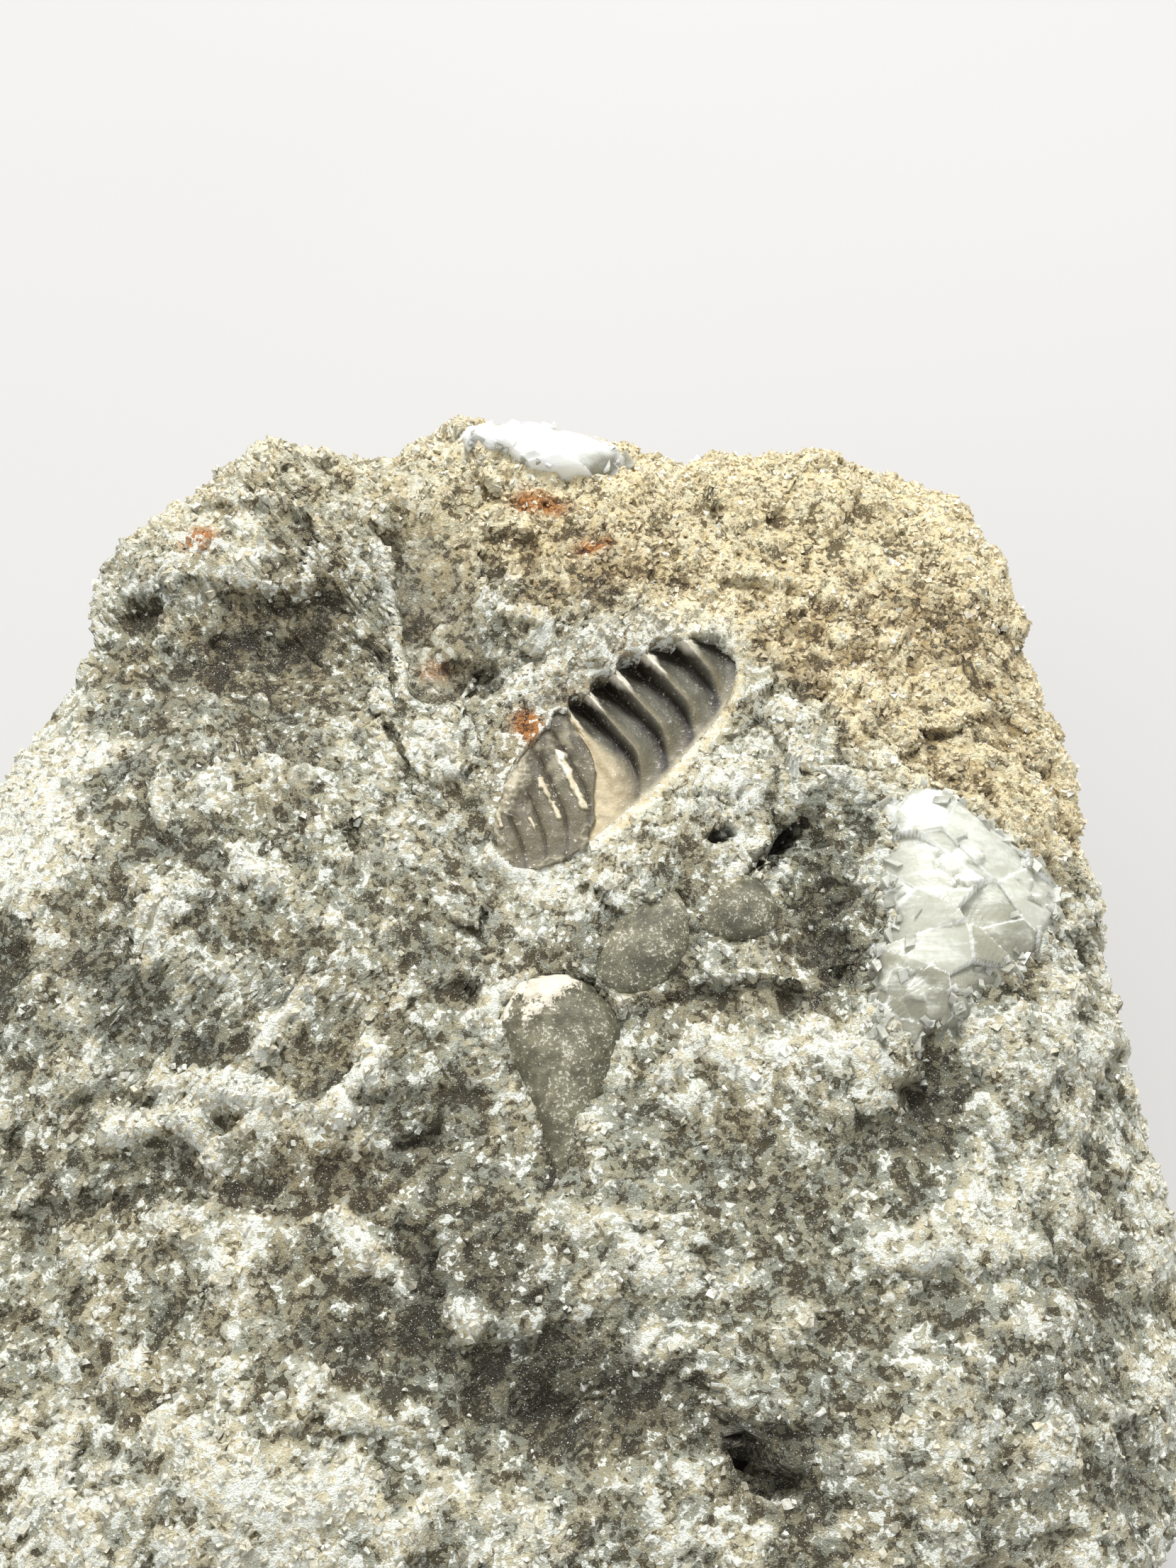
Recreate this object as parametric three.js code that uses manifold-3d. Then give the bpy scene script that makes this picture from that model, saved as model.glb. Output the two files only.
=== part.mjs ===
// A chunk of pale shelly limestone that holds one flank of a trilobite's ribbed tail.
//
// The rock lies on a flat underside and its upper face leans forward. The trilobite lies in a
// trough in that face, white calcite crystals fill a pocket at the right edge and crown the back
// rim, and three smooth shell fragments stand out of the stone below the trilobite.
//
// Millimetres, +Z up. The origin is the middle of the underside, and the face leans towards -Y.
// Points written as [u, v] lie in the face: u runs to the right, v runs up the slope, and w
// stands out of the stone.

import * as THREE from "three";
import { mergeVertices } from "three/addons/utils/BufferGeometryUtils.js";
import Module from "manifold-3d";

const wasm = await Module();
wasm.setup();

// The face: where its own origin stands above the underside, and how far it leans.
const faceOrigin = new THREE.Vector3(2.85, 6.5, 19.5);
const faceLean = THREE.MathUtils.degToRad(14);

// The rim of the face, anticlockwise from the right-hand side.
const rimPoints = [
  [16.8, -8], [16.2, -3.5], [15.8, 1], [15, 5.5], [14.3, 10], [12.1, 13.2], [8.4, 14.7],
  [4, 14.1], [0.6, 14.1], [-3.6, 13.9], [-7.2, 12], [-10.6, 12.3], [-14, 11.2], [-16.4, 9.2],
  [-16.5, 5.4], [-18.6, 1.2], [-21.4, -3.5], [-22.7, -9.5], [-22.2, -16], [-19, -22],
  [-13.5, -26.8], [-6, -29], [2, -29.2], [9.5, -27.8], [15.2, -24], [17.8, -17.5],
];
const rimCentre = [-2.5, -6.5];

// The footprint is the rim drawn in towards its centre, and the sides swell out on the way down.
const footprintShare = 0.93;
const sideSwell = 1.6;
const halfHeight = 10;
const underCut = 3; // how far the rough shape runs below the underside before it is cut flat

// Breaks: flat fracture faces on the sides. Each faces `facing` degrees round from +X, leans back
// by `lean` degrees from bottom to top, and is `away` from the middle at half height.
const breaks = [
  { name: "right", facing: 2, lean: 4, away: 20 },
  { name: "back right", facing: 46, lean: -5, away: 22.6 },
  { name: "back", facing: 92, lean: -9, away: 19.8 },
  { name: "back left", facing: 143, lean: 5, away: 20.6 },
  { name: "left", facing: 184, lean: -7, away: 20.6 },
  { name: "front left", facing: 229, lean: 13, away: 21 },
  { name: "front", facing: 276, lean: 7, away: 22 },
  { name: "front right", facing: 318, lean: -6, away: 22.4 },
];
const breakRound = 0.7; // how softly one fracture face runs into the next

// Bevels: the face falls away past a line through `from`, in the direction `to`.
const bevels = [
  { name: "weathered shoulder", from: [4.6, 5.2], to: [0.59, 0.81], slope: 0.3, round: 1.6 },
  { name: "right edge", from: [12.9, 0], to: [1, 0], slope: 0.85, round: 0.9 },
  { name: "back edge", from: [0, 12.2], to: [0, 1], slope: 0.8, round: 0.8 },
  { name: "left edge", from: [-15.4, 3], to: [-0.9, 0.44], slope: 0.75, round: 1.1 },
  { name: "front edge", from: [0, -24.5], to: [0, -1], slope: 0.75, round: 1.5 },
];

// Lumps and hollows: round or oval swellings, `high` above the face or below it.
const lumps = [
  { name: "scoop under the left rim", at: [-11, 5], size: [4.4, 2.3], turn: 8, high: -1.7 },
  { name: "left rim peak", at: [-10.6, 13.2], size: [1.7, 1.9], turn: 0, high: 1.4 },
  { name: "crest", at: [-1.6, 13], size: [3.6, 1.8], turn: 0, high: 1.5 },
  { name: "right rim peak", at: [8, 13], size: [1.6, 1.8], turn: 0, high: 1.1 },
  { name: "pit above the tail", at: [-3.3, 4], size: [1.3, 0.8], turn: 20, high: -1.3 },
  { name: "trough of the tail", at: [1.1, 1.7], size: [6.4, 2], turn: 45, high: -0.5 },
  { name: "bank beside the tail", at: [3.6, -0.6], size: [5.4, 1.1], turn: 44, high: 0.75 },
  { name: "hollow by the crystals", at: [7.2, -4.4], size: [1.6, 2.4], turn: -10, high: -1 },
  { name: "left swelling", at: [-13, -3.5], size: [5, 4], turn: 0, high: 0.9 },
  { name: "scarp", at: [-9.6, -10.6], size: [3.6, 1.1], turn: -14, high: 0.9 },
  { name: "hollow under the scarp", at: [-5.2, -11.8], size: [2.2, 1.2], turn: 15, high: -1 },
  { name: "right pit", at: [10, -10.4], size: [1.5, 1.7], turn: 0, high: -1.4 },
  { name: "right boss", at: [13.4, -8.4], size: [1.8, 1.6], turn: 0, high: 0.7 },
  { name: "long hollow", at: [-0.6, -18.6], size: [2.8, 1.5], turn: 10, high: -1.4 },
  { name: "front pit", at: [4.9, -20.3], size: [1.6, 1.9], turn: 0, high: -1.3 },
  { name: "front left boss", at: [-9, -20.5], size: [4.2, 3], turn: 20, high: 1.2 },
  { name: "front right boss", at: [9.5, -18.5], size: [3.4, 4.2], turn: 0, high: 0.9 },
];

// Ledges: the face drops past the line from `from` to `to`, on its right hand, and comes back
// over `reach`.
const ledges = [
  { name: "arris of the flake scar", from: [-5.6, 2.8], to: [-6.9, 9.2], drop: 0.6, reach: 4.6 },
  { name: "cream scarp", from: [-13.4, -9.4], to: [-7.2, -10.6], drop: 1.1, reach: 3.6 },
  { name: "left step", from: [-19.5, -13.2], to: [-12.5, -12.2], drop: 0.9, reach: 3.5 },
  { name: "step by the crystals", from: [7.6, -0.8], to: [8.2, -7.4], drop: 0.8, reach: 2.2 },
  { name: "front step", from: [-8.5, -16.2], to: [0.5, -16.8], drop: 1.2, reach: 4.2 },
  { name: "front right step", from: [7.4, -15.2], to: [14.5, -14], drop: 0.8, reach: 3.4 },
  { name: "upper left step", from: [-15.6, 7.6], to: [-8.2, 7.4], drop: 0.8, reach: 3 },
];
const ledgeFace = 0.9; // how far a ledge takes to drop

// Roughness: rounds of noise, each a wavelength and a height.
const faceNoise = [
  { wave: 7, high: 0.7 },
  { wave: 1.7, high: 0.2 },
];
const sideNoise = [
  { wave: 8, high: 0.7 },
  { wave: 1.9, high: 0.2 },
];

// Chips: the stone breaks into small plates, each with a height and a tilt of its own.
const faceChips = { wave: 3.4, high: 0.42, tilt: 0.3 };
const sideChips = { wave: 4.2, high: 0.5, tilt: 0.34 };
const chipsAround = 31; // how many side chips go round the rock

// The grid that the rock is drawn on.
const faceSteps = 38;
const sideSteps = 7;

// The gap that every inclusion keeps to the stone around it.
const gap = 0.3;

// The trilobite's tail, in its own frame: p runs along it, from its rear to its front, and q runs
// across it, up the slope. The upper margin is an arch and the lower margin is nearly straight.
const tail = {
  at: [0.9, 1.5],
  turn: THREE.MathUtils.degToRad(45),
  length: 10.4,
  topMargin: { middle: 2.1, ends: 0.3, power: 2.6 },
  lowMargin: { middle: -1.7, ends: -0.7, power: 6 },
  depth: { front: 1.25, rear: 0.8 }, // of the channels' floors below the face
  thickness: 1,
  ribs: { start: 5.5, frontPitch: 1.42, rearPitch: 0.8, frontHeight: 0.6, rearHeight: 0.26 },
  fan: { front: 0.22, rear: 0.45 }, // how far a rib leans along p for each millimetre across
  border: 0.7, // the smooth band along the lower margin
  steps: [66, 6],
  pocketSteps: [20, 2],
};

// Calcite crystals: cleavage blocks leaning on each other, each with its place and its size.
const cleavageLean = 0.27; // how far a block's top is pushed sideways for each unit of its height
const calciteBlocks = [
  { at: [10.4, -2.4, -0.8], size: [3, 3.2, 2.6], turn: [14, -12, 24] },
  { at: [12.4, -2.6, -1.3], size: [2.6, 3, 2.8], turn: [-10, 22, -12] },
  { at: [10.2, -4.8, -0.9], size: [2.4, 3, 2.4], turn: [-22, 8, 40] },
  { at: [12, -4.9, -1.2], size: [3, 2.4, 2.8], turn: [12, 18, 62] },
  { at: [9.7, -1.2, -0.9], size: [1.8, 1.6, 2], turn: [24, -20, 8] },
  { at: [11.7, -1, -1.2], size: [2.2, 1.6, 2.2], turn: [28, 10, -30] },
  { at: [13.6, -3.9, -2], size: [1.8, 2.6, 2.4], turn: [4, 36, 10] },
  { at: [9.3, -7.2, -0.9], size: [1.5, 2, 2], turn: [-14, -10, 18] },
  { at: [10.6, -6.6, -0.8], size: [1.8, 1.8, 2.2], turn: [-26, 12, -20] },
];
const crestBlocks = [
  { at: [-2.5, 12.5, -0.5], size: [3, 1.9, 2], turn: [20, -8, 12] },
  { at: [-0.5, 12.4, -0.7], size: [2.6, 2, 2], turn: [26, 12, -16] },
  { at: [-4.1, 12.4, -0.7], size: [1.8, 1.6, 1.8], turn: [14, -16, 30] },
];

// Shell fragments: a pointed beak that lies down the slope, and two smooth domes beside it.
const beak = { at: [-0.9, -7.6, -0.5], turn: 4, long: 5.6, wide: 1.95, flat: 0.72 };
const domes = [
  { name: "shell_dome", at: [1.6, -5.1, -0.8], size: [1.2, 1.7, 1.25], turn: -24 },
  { name: "shell_dome_small", at: [4.1, -4.3, -0.75], size: [1.35, 0.95, 1.05], turn: -20 },
];

// Smooth noise in space, from -1 to 1: random numbers on a lattice, eased between its corners.
function lattice(i, j, k) {
  const s = Math.sin(i * 127.1 + j * 311.7 + k * 74.7) * 43758.5453;
  return (s - Math.floor(s)) * 2 - 1;
}
function smoothNoise(x, y, z) {
  const cell = [x, y, z].map(Math.floor);
  const ease = [x, y, z].map((c, axis) => THREE.MathUtils.smoothstep(c - cell[axis], 0, 1));
  let sum = 0;
  for (let corner = 0; corner < 8; corner++) {
    const far = [corner & 1, (corner >> 1) & 1, corner >> 2];
    const share = far.reduce((s, f, axis) => s * (f ? ease[axis] : 1 - ease[axis]), 1);
    sum += share * lattice(cell[0] + far[0], cell[1] + far[1], cell[2] + far[2]);
  }
  return sum;
}
function roughness(rounds, x, y, z) {
  return rounds.reduce((sum, { wave, high }) => sum + high * smoothNoise(x / wave, y / wave, z / wave), 0);
}

// Height of a chip, at a point counted in chips: of all the jittered middles the nearest one's
// plate. The count along the first axis may wrap.
function chipHeight({ wave, high, tilt }, a, b, wrap = Infinity) {
  const nearest = { far: Infinity, height: 0 };
  for (let i = Math.floor(a) - 1; i <= Math.floor(a) + 1; i++) {
    const column = wrap < Infinity ? ((i % wrap) + wrap) % wrap : i;
    for (let j = Math.floor(b) - 1; j <= Math.floor(b) + 1; j++) {
      const da = a - (i + 0.5 + 0.4 * lattice(column, j, 1));
      const db = b - (j + 0.5 + 0.4 * lattice(column, j, 2));
      const far = da * da + db * db;
      if (far >= nearest.far) continue;
      nearest.far = far;
      const slant = da * lattice(column, j, 4) + db * lattice(column, j, 5);
      nearest.height = high * lattice(column, j, 3) + tilt * wave * slant;
    }
  }
  return nearest.height;
}

// Height of the face above its plane.
function bevelDrop({ from, to, slope, round }, u, v) {
  const past = (u - from[0]) * to[0] + (v - from[1]) * to[1];
  return slope * round * Math.log1p(Math.exp(past / round));
}
function lumpHeight({ at, size, turn, high }, u, v) {
  const a = THREE.MathUtils.degToRad(turn);
  const along = ((u - at[0]) * Math.cos(a) + (v - at[1]) * Math.sin(a)) / size[0];
  const across = ((v - at[1]) * Math.cos(a) - (u - at[0]) * Math.sin(a)) / size[1];
  return high * Math.exp(-along * along - across * across);
}
function ledgeDrop({ from, to, drop, reach }, u, v) {
  const run = [to[0] - from[0], to[1] - from[1]];
  const length = Math.hypot(...run);
  const along = ((u - from[0]) * run[0] + (v - from[1]) * run[1]) / length ** 2;
  const past = ((u - from[0]) * run[1] - (v - from[1]) * run[0]) / length;
  const ends = THREE.MathUtils.smoothstep(0.5 - Math.abs(along - 0.5), -0.15, 0.1);
  return drop * ends * THREE.MathUtils.smoothstep(past, 0, ledgeFace) * Math.max(0, 1 - past / reach);
}
function faceHeight(u, v) {
  let w = roughness(faceNoise, u, v, 0) + chipHeight(faceChips, u / faceChips.wave, v / faceChips.wave);
  for (const bevel of bevels) w -= bevelDrop(bevel, u, v);
  for (const ledge of ledges) w -= ledgeDrop(ledge, u, v);
  for (const lump of lumps) w += lumpHeight(lump, u, v);
  return w;
}

// The frame of the face, which also carries everything that lies in it.
const face = new THREE.Group();
face.position.copy(faceOrigin);
face.rotation.x = faceLean;
face.updateMatrixWorld(true);

// The rim as a closed curve, from 0 to 1.
const rim = new THREE.CatmullRomCurve3(
  rimPoints.map(([u, v]) => new THREE.Vector3(u, v, 0)), true, "catmullrom", 0.5,
);

// A square's point as rings around its middle: how far out it is, and how far round.
function ringOf(a, b) {
  const out = Math.max(Math.abs(a), Math.abs(b));
  if (out === 0) return { out, round: 0 };
  const x = a / out;
  const y = b / out;
  let eighth;
  if (x >= Math.abs(y) - 1e-9 && x > 0) eighth = y;
  else if (y >= Math.abs(x) - 1e-9 && y > 0) eighth = 2 - x;
  else if (-x >= Math.abs(y) - 1e-9 && x < 0) eighth = 4 - y;
  else eighth = 6 + x;
  return { out, round: (((eighth / 8) % 1) + 1) % 1 };
}

// A point on the face, in space.
function facePoint({ out, round }) {
  const edge = rim.getPoint(round);
  const u = rimCentre[0] + (edge.x - rimCentre[0]) * out;
  const v = rimCentre[1] + (edge.y - rimCentre[1]) * out;
  return face.localToWorld(new THREE.Vector3(u, v, faceHeight(u, v)));
}

// How far out the fracture faces let the side reach, in a direction and at a height: the nearest
// of them, run softly into one another.
function breakReach(direction, z) {
  const near = breaks.map(({ facing, lean, away }) => {
    const turn = direction - THREE.MathUtils.degToRad(facing);
    const tilt = THREE.MathUtils.degToRad(lean);
    const facingShare = Math.max(0.05, Math.cos(turn) * Math.cos(tilt));
    return (away - (z - halfHeight) * Math.sin(tilt)) / facingShare;
  });
  return -breakRound * Math.log(near.reduce((sum, reach) => sum + Math.exp(-reach / breakRound), 0));
}

// A point on the side, `down` of the way from the rim to below the underside.
const middle = face.localToWorld(new THREE.Vector3(...rimCentre, 0)).setZ(0);
function sidePoint(ring, down) {
  const top = facePoint({ out: 1, round: ring.round });
  const outward = top.clone().setZ(0).sub(middle);
  const rimReach = outward.length();
  const z = top.z - (top.z + underCut) * down;
  const swollen = rimReach * (1 - (1 - footprintShare) * down) + sideSwell * Math.sin(Math.PI * down);
  const broken = Math.min(swollen, breakReach(Math.atan2(outward.y, outward.x), z));
  const belowRim = THREE.MathUtils.smoothstep(down, 0, 0.3);
  const chip = chipHeight(sideChips, ring.round * chipsAround, z / sideChips.wave, chipsAround);
  const bumps = roughness(sideNoise, top.x, top.y, z) + chip;
  const reach = THREE.MathUtils.lerp(rimReach, broken + bumps, belowRim);
  return middle.clone().addScaledVector(outward.normalize(), reach).setZ(z);
}

// Solids: closed geometry to manifold-3d and back.
function solidOf(geometry, matrix = new THREE.Matrix4()) {
  const bare = geometry.clone().applyMatrix4(matrix);
  bare.deleteAttribute("normal");
  bare.deleteAttribute("uv");
  const merged = mergeVertices(bare, 1e-4);
  return new wasm.Manifold(new wasm.Mesh({
    numProp: 3,
    vertProperties: new Float32Array(merged.attributes.position.array),
    triVerts: new Uint32Array(merged.index.array),
  }));
}
function geometryOf(solid) {
  const mesh = solid.getMesh();
  const geometry = new THREE.BufferGeometry();
  geometry.setAttribute("position", new THREE.BufferAttribute(mesh.vertProperties, 3));
  geometry.setIndex(new THREE.BufferAttribute(mesh.triVerts, 1));
  geometry.computeVertexNormals();
  return geometry;
}
function joined(solids) {
  return solids.reduce((whole, next) => whole.add(next));
}
function largestBody(solid) {
  return solid.decompose().reduce((best, next) => (next.volume() > best.volume() ? next : best));
}

// Moves every vertex of a geometry to where `place` says.
function warped(geometry, place) {
  const position = geometry.attributes.position;
  const point = new THREE.Vector3();
  for (let i = 0; i < position.count; i++) {
    point.fromBufferAttribute(position, i);
    position.setXYZ(i, ...place(point).toArray());
  }
  return geometry;
}

// The rough rock: a box whose top becomes the face and whose walls become the sides.
function roughRock() {
  const box = new THREE.BoxGeometry(2, 2, 2, faceSteps, faceSteps, sideSteps);
  return warped(box, ({ x, y, z }) => {
    const ring = ringOf(x, y);
    if (z > 1 - 1e-6) return facePoint(ring);
    if (z < -1 + 1e-6) {
      const edge = sidePoint(ring, 1);
      return middle.clone().lerp(edge, ring.out).setZ(-underCut);
    }
    return sidePoint(ring, (1 - z) / 2);
  });
}
// Everything below a height, to cut a solid flat.
function below(height) {
  const wide = 200;
  return new THREE.BoxGeometry(wide, wide, wide).translate(0, 0, height - wide / 2);
}

// The tail's margins, and the height of its ribbed surface below the face.
function margin({ middle: mid, ends, power }, p) {
  const t = Math.min(1, Math.abs(p) / (tail.length / 2));
  return ends + (mid - ends) * (1 - t ** power);
}
function alongTail(p) {
  return THREE.MathUtils.clamp(0.5 - p / tail.length, 0, 1); // 0 at the front, 1 at the rear
}
function ribSurface(p, q) {
  const { start, frontPitch, rearPitch, frontHeight, rearHeight } = tail.ribs;
  const t = alongTail(p);
  const root = p - THREE.MathUtils.lerp(tail.fan.front, tail.fan.rear, t) * q;
  // The pitch shrinks evenly from front to rear, so the count of ribs grows as a logarithm.
  const shrink = (frontPitch - rearPitch) / tail.length;
  const count = Math.log(frontPitch / (frontPitch - shrink * (start - root))) / shrink;
  const ridge = 1 - Math.abs(Math.sin(Math.PI * count));
  const low = margin(tail.lowMargin, p);
  const fade = THREE.MathUtils.smoothstep(q - low, tail.border * 0.5, tail.border * 1.5);
  const floor = -THREE.MathUtils.lerp(tail.depth.front, tail.depth.rear, t);
  return floor + ridge * fade * THREE.MathUtils.lerp(frontHeight, rearHeight, t);
}
function tailSolid(steps, height, grow = 0) {
  const box = new THREE.BoxGeometry(1, 1, 1, ...steps, 1);
  const bottom = -tail.depth.front - tail.thickness - grow;
  const rough = warped(box, ({ x, y, z }) => {
    const p = x * (tail.length + 2 * grow);
    const low = margin(tail.lowMargin, p) - grow;
    const high = margin(tail.topMargin, p) + grow;
    const q = low + (high - low) * (y + 0.5);
    return new THREE.Vector3(p, q, z > 0 ? height(p, q) : bottom - 1);
  });
  return solidOf(rough).subtract(solidOf(below(bottom)));
}

// One cleavage block, grown by `grow` on every side.
function blockGeometry({ at, size, turn }, grow = 0) {
  const lean = new THREE.Matrix4().makeShear(0, cleavageLean, 0, 0, cleavageLean, 0);
  const angles = turn.map(THREE.MathUtils.degToRad);
  const place = new THREE.Matrix4().makeRotationFromEuler(new THREE.Euler(...angles)).setPosition(...at);
  return new THREE.BoxGeometry(...size.map((side) => side + 2 * grow)).applyMatrix4(place.multiply(lean));
}
function crystals(blocks, grow = 0) {
  return joined(blocks.map((block) => solidOf(blockGeometry(block, grow))));
}

// The beak: a drop shape turned about its length, flattened, with its point down the slope.
function beakGeometry(grow = 0) {
  const { at, turn, long, wide, flat } = beak;
  const half = wide + grow;
  const profile = new THREE.CatmullRomCurve3([
    [0, 1.7 + grow], [half * 0.62, 1.2 + grow], [half, 0], [half * 0.78, -1.6],
    [half * 0.42, -3.4], [0, -long - grow],
  ].map(([x, y]) => new THREE.Vector3(x, y, 0)));
  const points = profile.getPoints(10).map(({ x, y }) => new THREE.Vector2(Math.max(0, x), y));
  points[0].x = 0;
  points[points.length - 1].x = 0;
  return new THREE.LatheGeometry(points.reverse(), 14)
    .scale(1, 1, flat)
    .rotateZ(THREE.MathUtils.degToRad(turn))
    .translate(...at);
}
function domeGeometry({ at, size, turn }, grow = 0) {
  return new THREE.SphereGeometry(1, 14, 8)
    .scale(...size.map((side) => side + grow))
    .rotateZ(THREE.MathUtils.degToRad(turn))
    .translate(...at);
}

// Materials, as the photograph shows them.
const limestone = new THREE.MeshStandardMaterial({ color: 0xa79f90, roughness: 0.85, metalness: 0 });
const fossil = new THREE.MeshStandardMaterial({ color: 0x6b6459, roughness: 0.45, metalness: 0 });
const calcite = new THREE.MeshStandardMaterial({ color: 0xe4e4dc, roughness: 0.3, metalness: 0 });
const shell = new THREE.MeshStandardMaterial({ color: 0x857c6e, roughness: 0.5, metalness: 0 });

function piece(name, geometry, material) {
  const mesh = new THREE.Mesh(geometry, material);
  mesh.name = name;
  return mesh;
}

// The inclusions, laid in the face.
const tailPiece = piece("trilobite_tail", geometryOf(tailSolid(tail.steps, ribSurface)), fossil);
tailPiece.position.set(...tail.at, 0);
tailPiece.rotation.z = tail.turn;
face.add(
  tailPiece,
  piece("calcite_crystals", geometryOf(crystals(calciteBlocks)), calcite),
  piece("calcite_crest", geometryOf(crystals(crestBlocks)), calcite),
  piece("shell_beak", beakGeometry(), shell),
  ...domes.map((dome) => piece(dome.name, domeGeometry(dome), shell)),
);
face.updateMatrixWorld(true);

// The stone: the rough rock cut flat below, with a pocket for every inclusion.
const openAbove = 4; // the tail's pocket runs this far out of the stone
const pockets = [
  tailSolid(tail.pocketSteps, () => openAbove, gap).transform(tailPiece.matrixWorld.toArray()),
  ...[
    crystals(calciteBlocks, gap),
    crystals(crestBlocks, gap),
    solidOf(beakGeometry(gap)),
    ...domes.map((dome) => solidOf(domeGeometry(dome, gap))),
  ].map((solid) => solid.transform(face.matrixWorld.toArray())),
];
const cutRock = solidOf(roughRock()).subtract(solidOf(below(0))).subtract(joined(pockets));
const stone = largestBody(cutRock); // without the crumbs that the pockets cut loose

const chunk = new THREE.Group();
chunk.name = "trilobite_fossil";
chunk.add(piece("limestone_matrix", geometryOf(stone), limestone), face);

export default chunk;
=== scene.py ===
import math

import bpy
import numpy as np
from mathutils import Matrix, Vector


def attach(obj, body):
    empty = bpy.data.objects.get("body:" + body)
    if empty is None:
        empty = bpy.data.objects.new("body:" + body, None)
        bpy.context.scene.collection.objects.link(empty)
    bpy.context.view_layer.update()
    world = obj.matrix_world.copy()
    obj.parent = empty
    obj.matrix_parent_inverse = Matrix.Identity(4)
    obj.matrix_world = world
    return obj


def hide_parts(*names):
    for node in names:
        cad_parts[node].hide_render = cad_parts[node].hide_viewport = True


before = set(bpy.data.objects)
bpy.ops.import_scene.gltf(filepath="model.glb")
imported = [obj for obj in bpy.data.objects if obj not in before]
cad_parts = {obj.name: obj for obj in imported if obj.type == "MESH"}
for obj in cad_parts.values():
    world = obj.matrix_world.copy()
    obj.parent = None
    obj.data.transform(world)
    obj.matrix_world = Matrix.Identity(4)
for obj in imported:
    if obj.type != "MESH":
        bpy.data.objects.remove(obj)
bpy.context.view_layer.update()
print("frame loaded:", ", ".join(sorted(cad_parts)))

mm = 0.001  # everything below is worked out in millimetres and put into the meshes in metres
rng = np.random.default_rng(41)


# small curves

def ease(t):  # 3t2 - 2t3 between 0 and 1
    t = np.clip(t, 0, 1)
    return t * t * (3 - 2 * t)


def ramp(x, low, high):  # eased rise from 0 at low to 1 at high
    return ease((x - low) / (high - low))


def oval(u, v, at, size, turn=0):  # squared distance from a turned oval's middle, 1 on its edge
    a = math.radians(turn)
    along = ((u - at[0]) * math.cos(a) + (v - at[1]) * math.sin(a)) / size[0]
    across = ((v - at[1]) * math.cos(a) - (u - at[0]) * math.sin(a)) / size[1]
    return along**2 + across**2


def paint(red, green, blue):  # a screen colour, 0 to 255, as linear light
    c = np.array([red, green, blue]) / 255
    return np.where(c <= 0.04045, c / 12.92, ((c + 0.055) / 1.055) ** 2.4)


def tinted(base, colour, share):  # base moved towards a colour by each point's share
    return base + (colour - base) * np.clip(share, 0, 1)[:, None]


def painted(first, layers):  # one colour all over, then each layer's colour laid on by its share
    tint = np.tile(first, (len(layers[0][1]), 1))
    for colour, share in layers:
        tint = tinted(tint, colour, share)
    return tint


# noise: random numbers on a lattice

def lattice(i, j, k):  # the fraction of a large sine, from -1 to 1
    s = np.sin(i * 127.1 + j * 311.7 + k * 74.7) * 43758.5453
    return (s - np.floor(s)) * 2 - 1


def smoothNoise(x, y, z):  # the eight corners of a cell, blended by eased shares
    cell = [np.floor(c) for c in (x, y, z)]
    part = [ease(c - f) for c, f in zip((x, y, z), cell)]
    total = 0
    for corner in range(8):
        far = (corner & 1, corner >> 1 & 1, corner >> 2)
        share = 1
        for f, t in zip(far, part):
            share = share * (t if f else 1 - t)
        total = total + share * lattice(*(c + f for c, f in zip(cell, far)))
    return total


def layered(rounds, x, y, z):  # sum of noises, each with a wavelength and a height
    return sum(high * smoothNoise(x / wave, y / wave, z / wave) for wave, high in rounds)


def plates(chips, a, b, wrap=None):
    # height of the plate whose jittered middle is nearest: its own level plus its own slant
    best = np.full(np.shape(a), np.inf)
    height = np.zeros(np.shape(a))
    for di in (-1, 0, 1):
        for dj in (-1, 0, 1):
            i, j = np.floor(a) + di, np.floor(b) + dj
            column = i if wrap is None else np.mod(i, wrap)
            da = a - (i + 0.5 + 0.4 * lattice(column, j, 1))
            db = b - (j + 0.5 + 0.4 * lattice(column, j, 2))
            far = da**2 + db**2
            slant = da * lattice(column, j, 4) + db * lattice(column, j, 5)
            level = chips["high"] * lattice(column, j, 3) + chips["tilt"] * chips["wave"] * slant
            height = np.where(far < best, level, height)
            best = np.minimum(far, best)
    return height


def crumbs(points, wave, seed):
    # for the crumb whose jittered middle is nearest in space: its random number, its slant at
    # the point, and how far the point is from the next crumb
    p = points / wave
    cell = np.floor(p)
    nearest = np.full(len(p), np.inf)
    second = np.full(len(p), np.inf)
    chance = np.zeros(len(p))
    slant = np.zeros(len(p))
    for corner in range(27):
        home = cell + (corner % 3 - 1, corner // 3 % 3 - 1, corner // 9 - 1)

        def pick(n):
            return lattice(home[:, 0] + 0.37 * n, home[:, 1] + seed, home[:, 2] - 0.61 * n)

        off = p - home - 0.5 - 0.42 * np.stack([pick(1), pick(2), pick(3)], axis=1)
        far = np.linalg.norm(off, axis=1)
        closer = far < nearest
        second = np.where(closer, nearest, np.minimum(second, far))
        chance = np.where(closer, pick(4), chance)
        lean = (off * np.stack([pick(5), pick(6), pick(7)], axis=1)).sum(axis=1)
        slant = np.where(closer, lean, slant)
        nearest = np.where(closer, far, nearest)
    return chance, slant, second - nearest


# meshes

def quads(a, b, c, d):  # two triangles for each four corners, the diagonal turning like a chessboard
    rows, columns = np.indices(a.shape)
    even = ((rows + columns) % 2 == 0).ravel()
    a, b, c, d = (corner.ravel() for corner in (a, b, c, d))
    first = np.stack([a, b, np.where(even, c, d)], axis=1)
    other = np.stack([np.where(even, a, b), c, d], axis=1)
    return np.concatenate([first, other])


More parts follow.
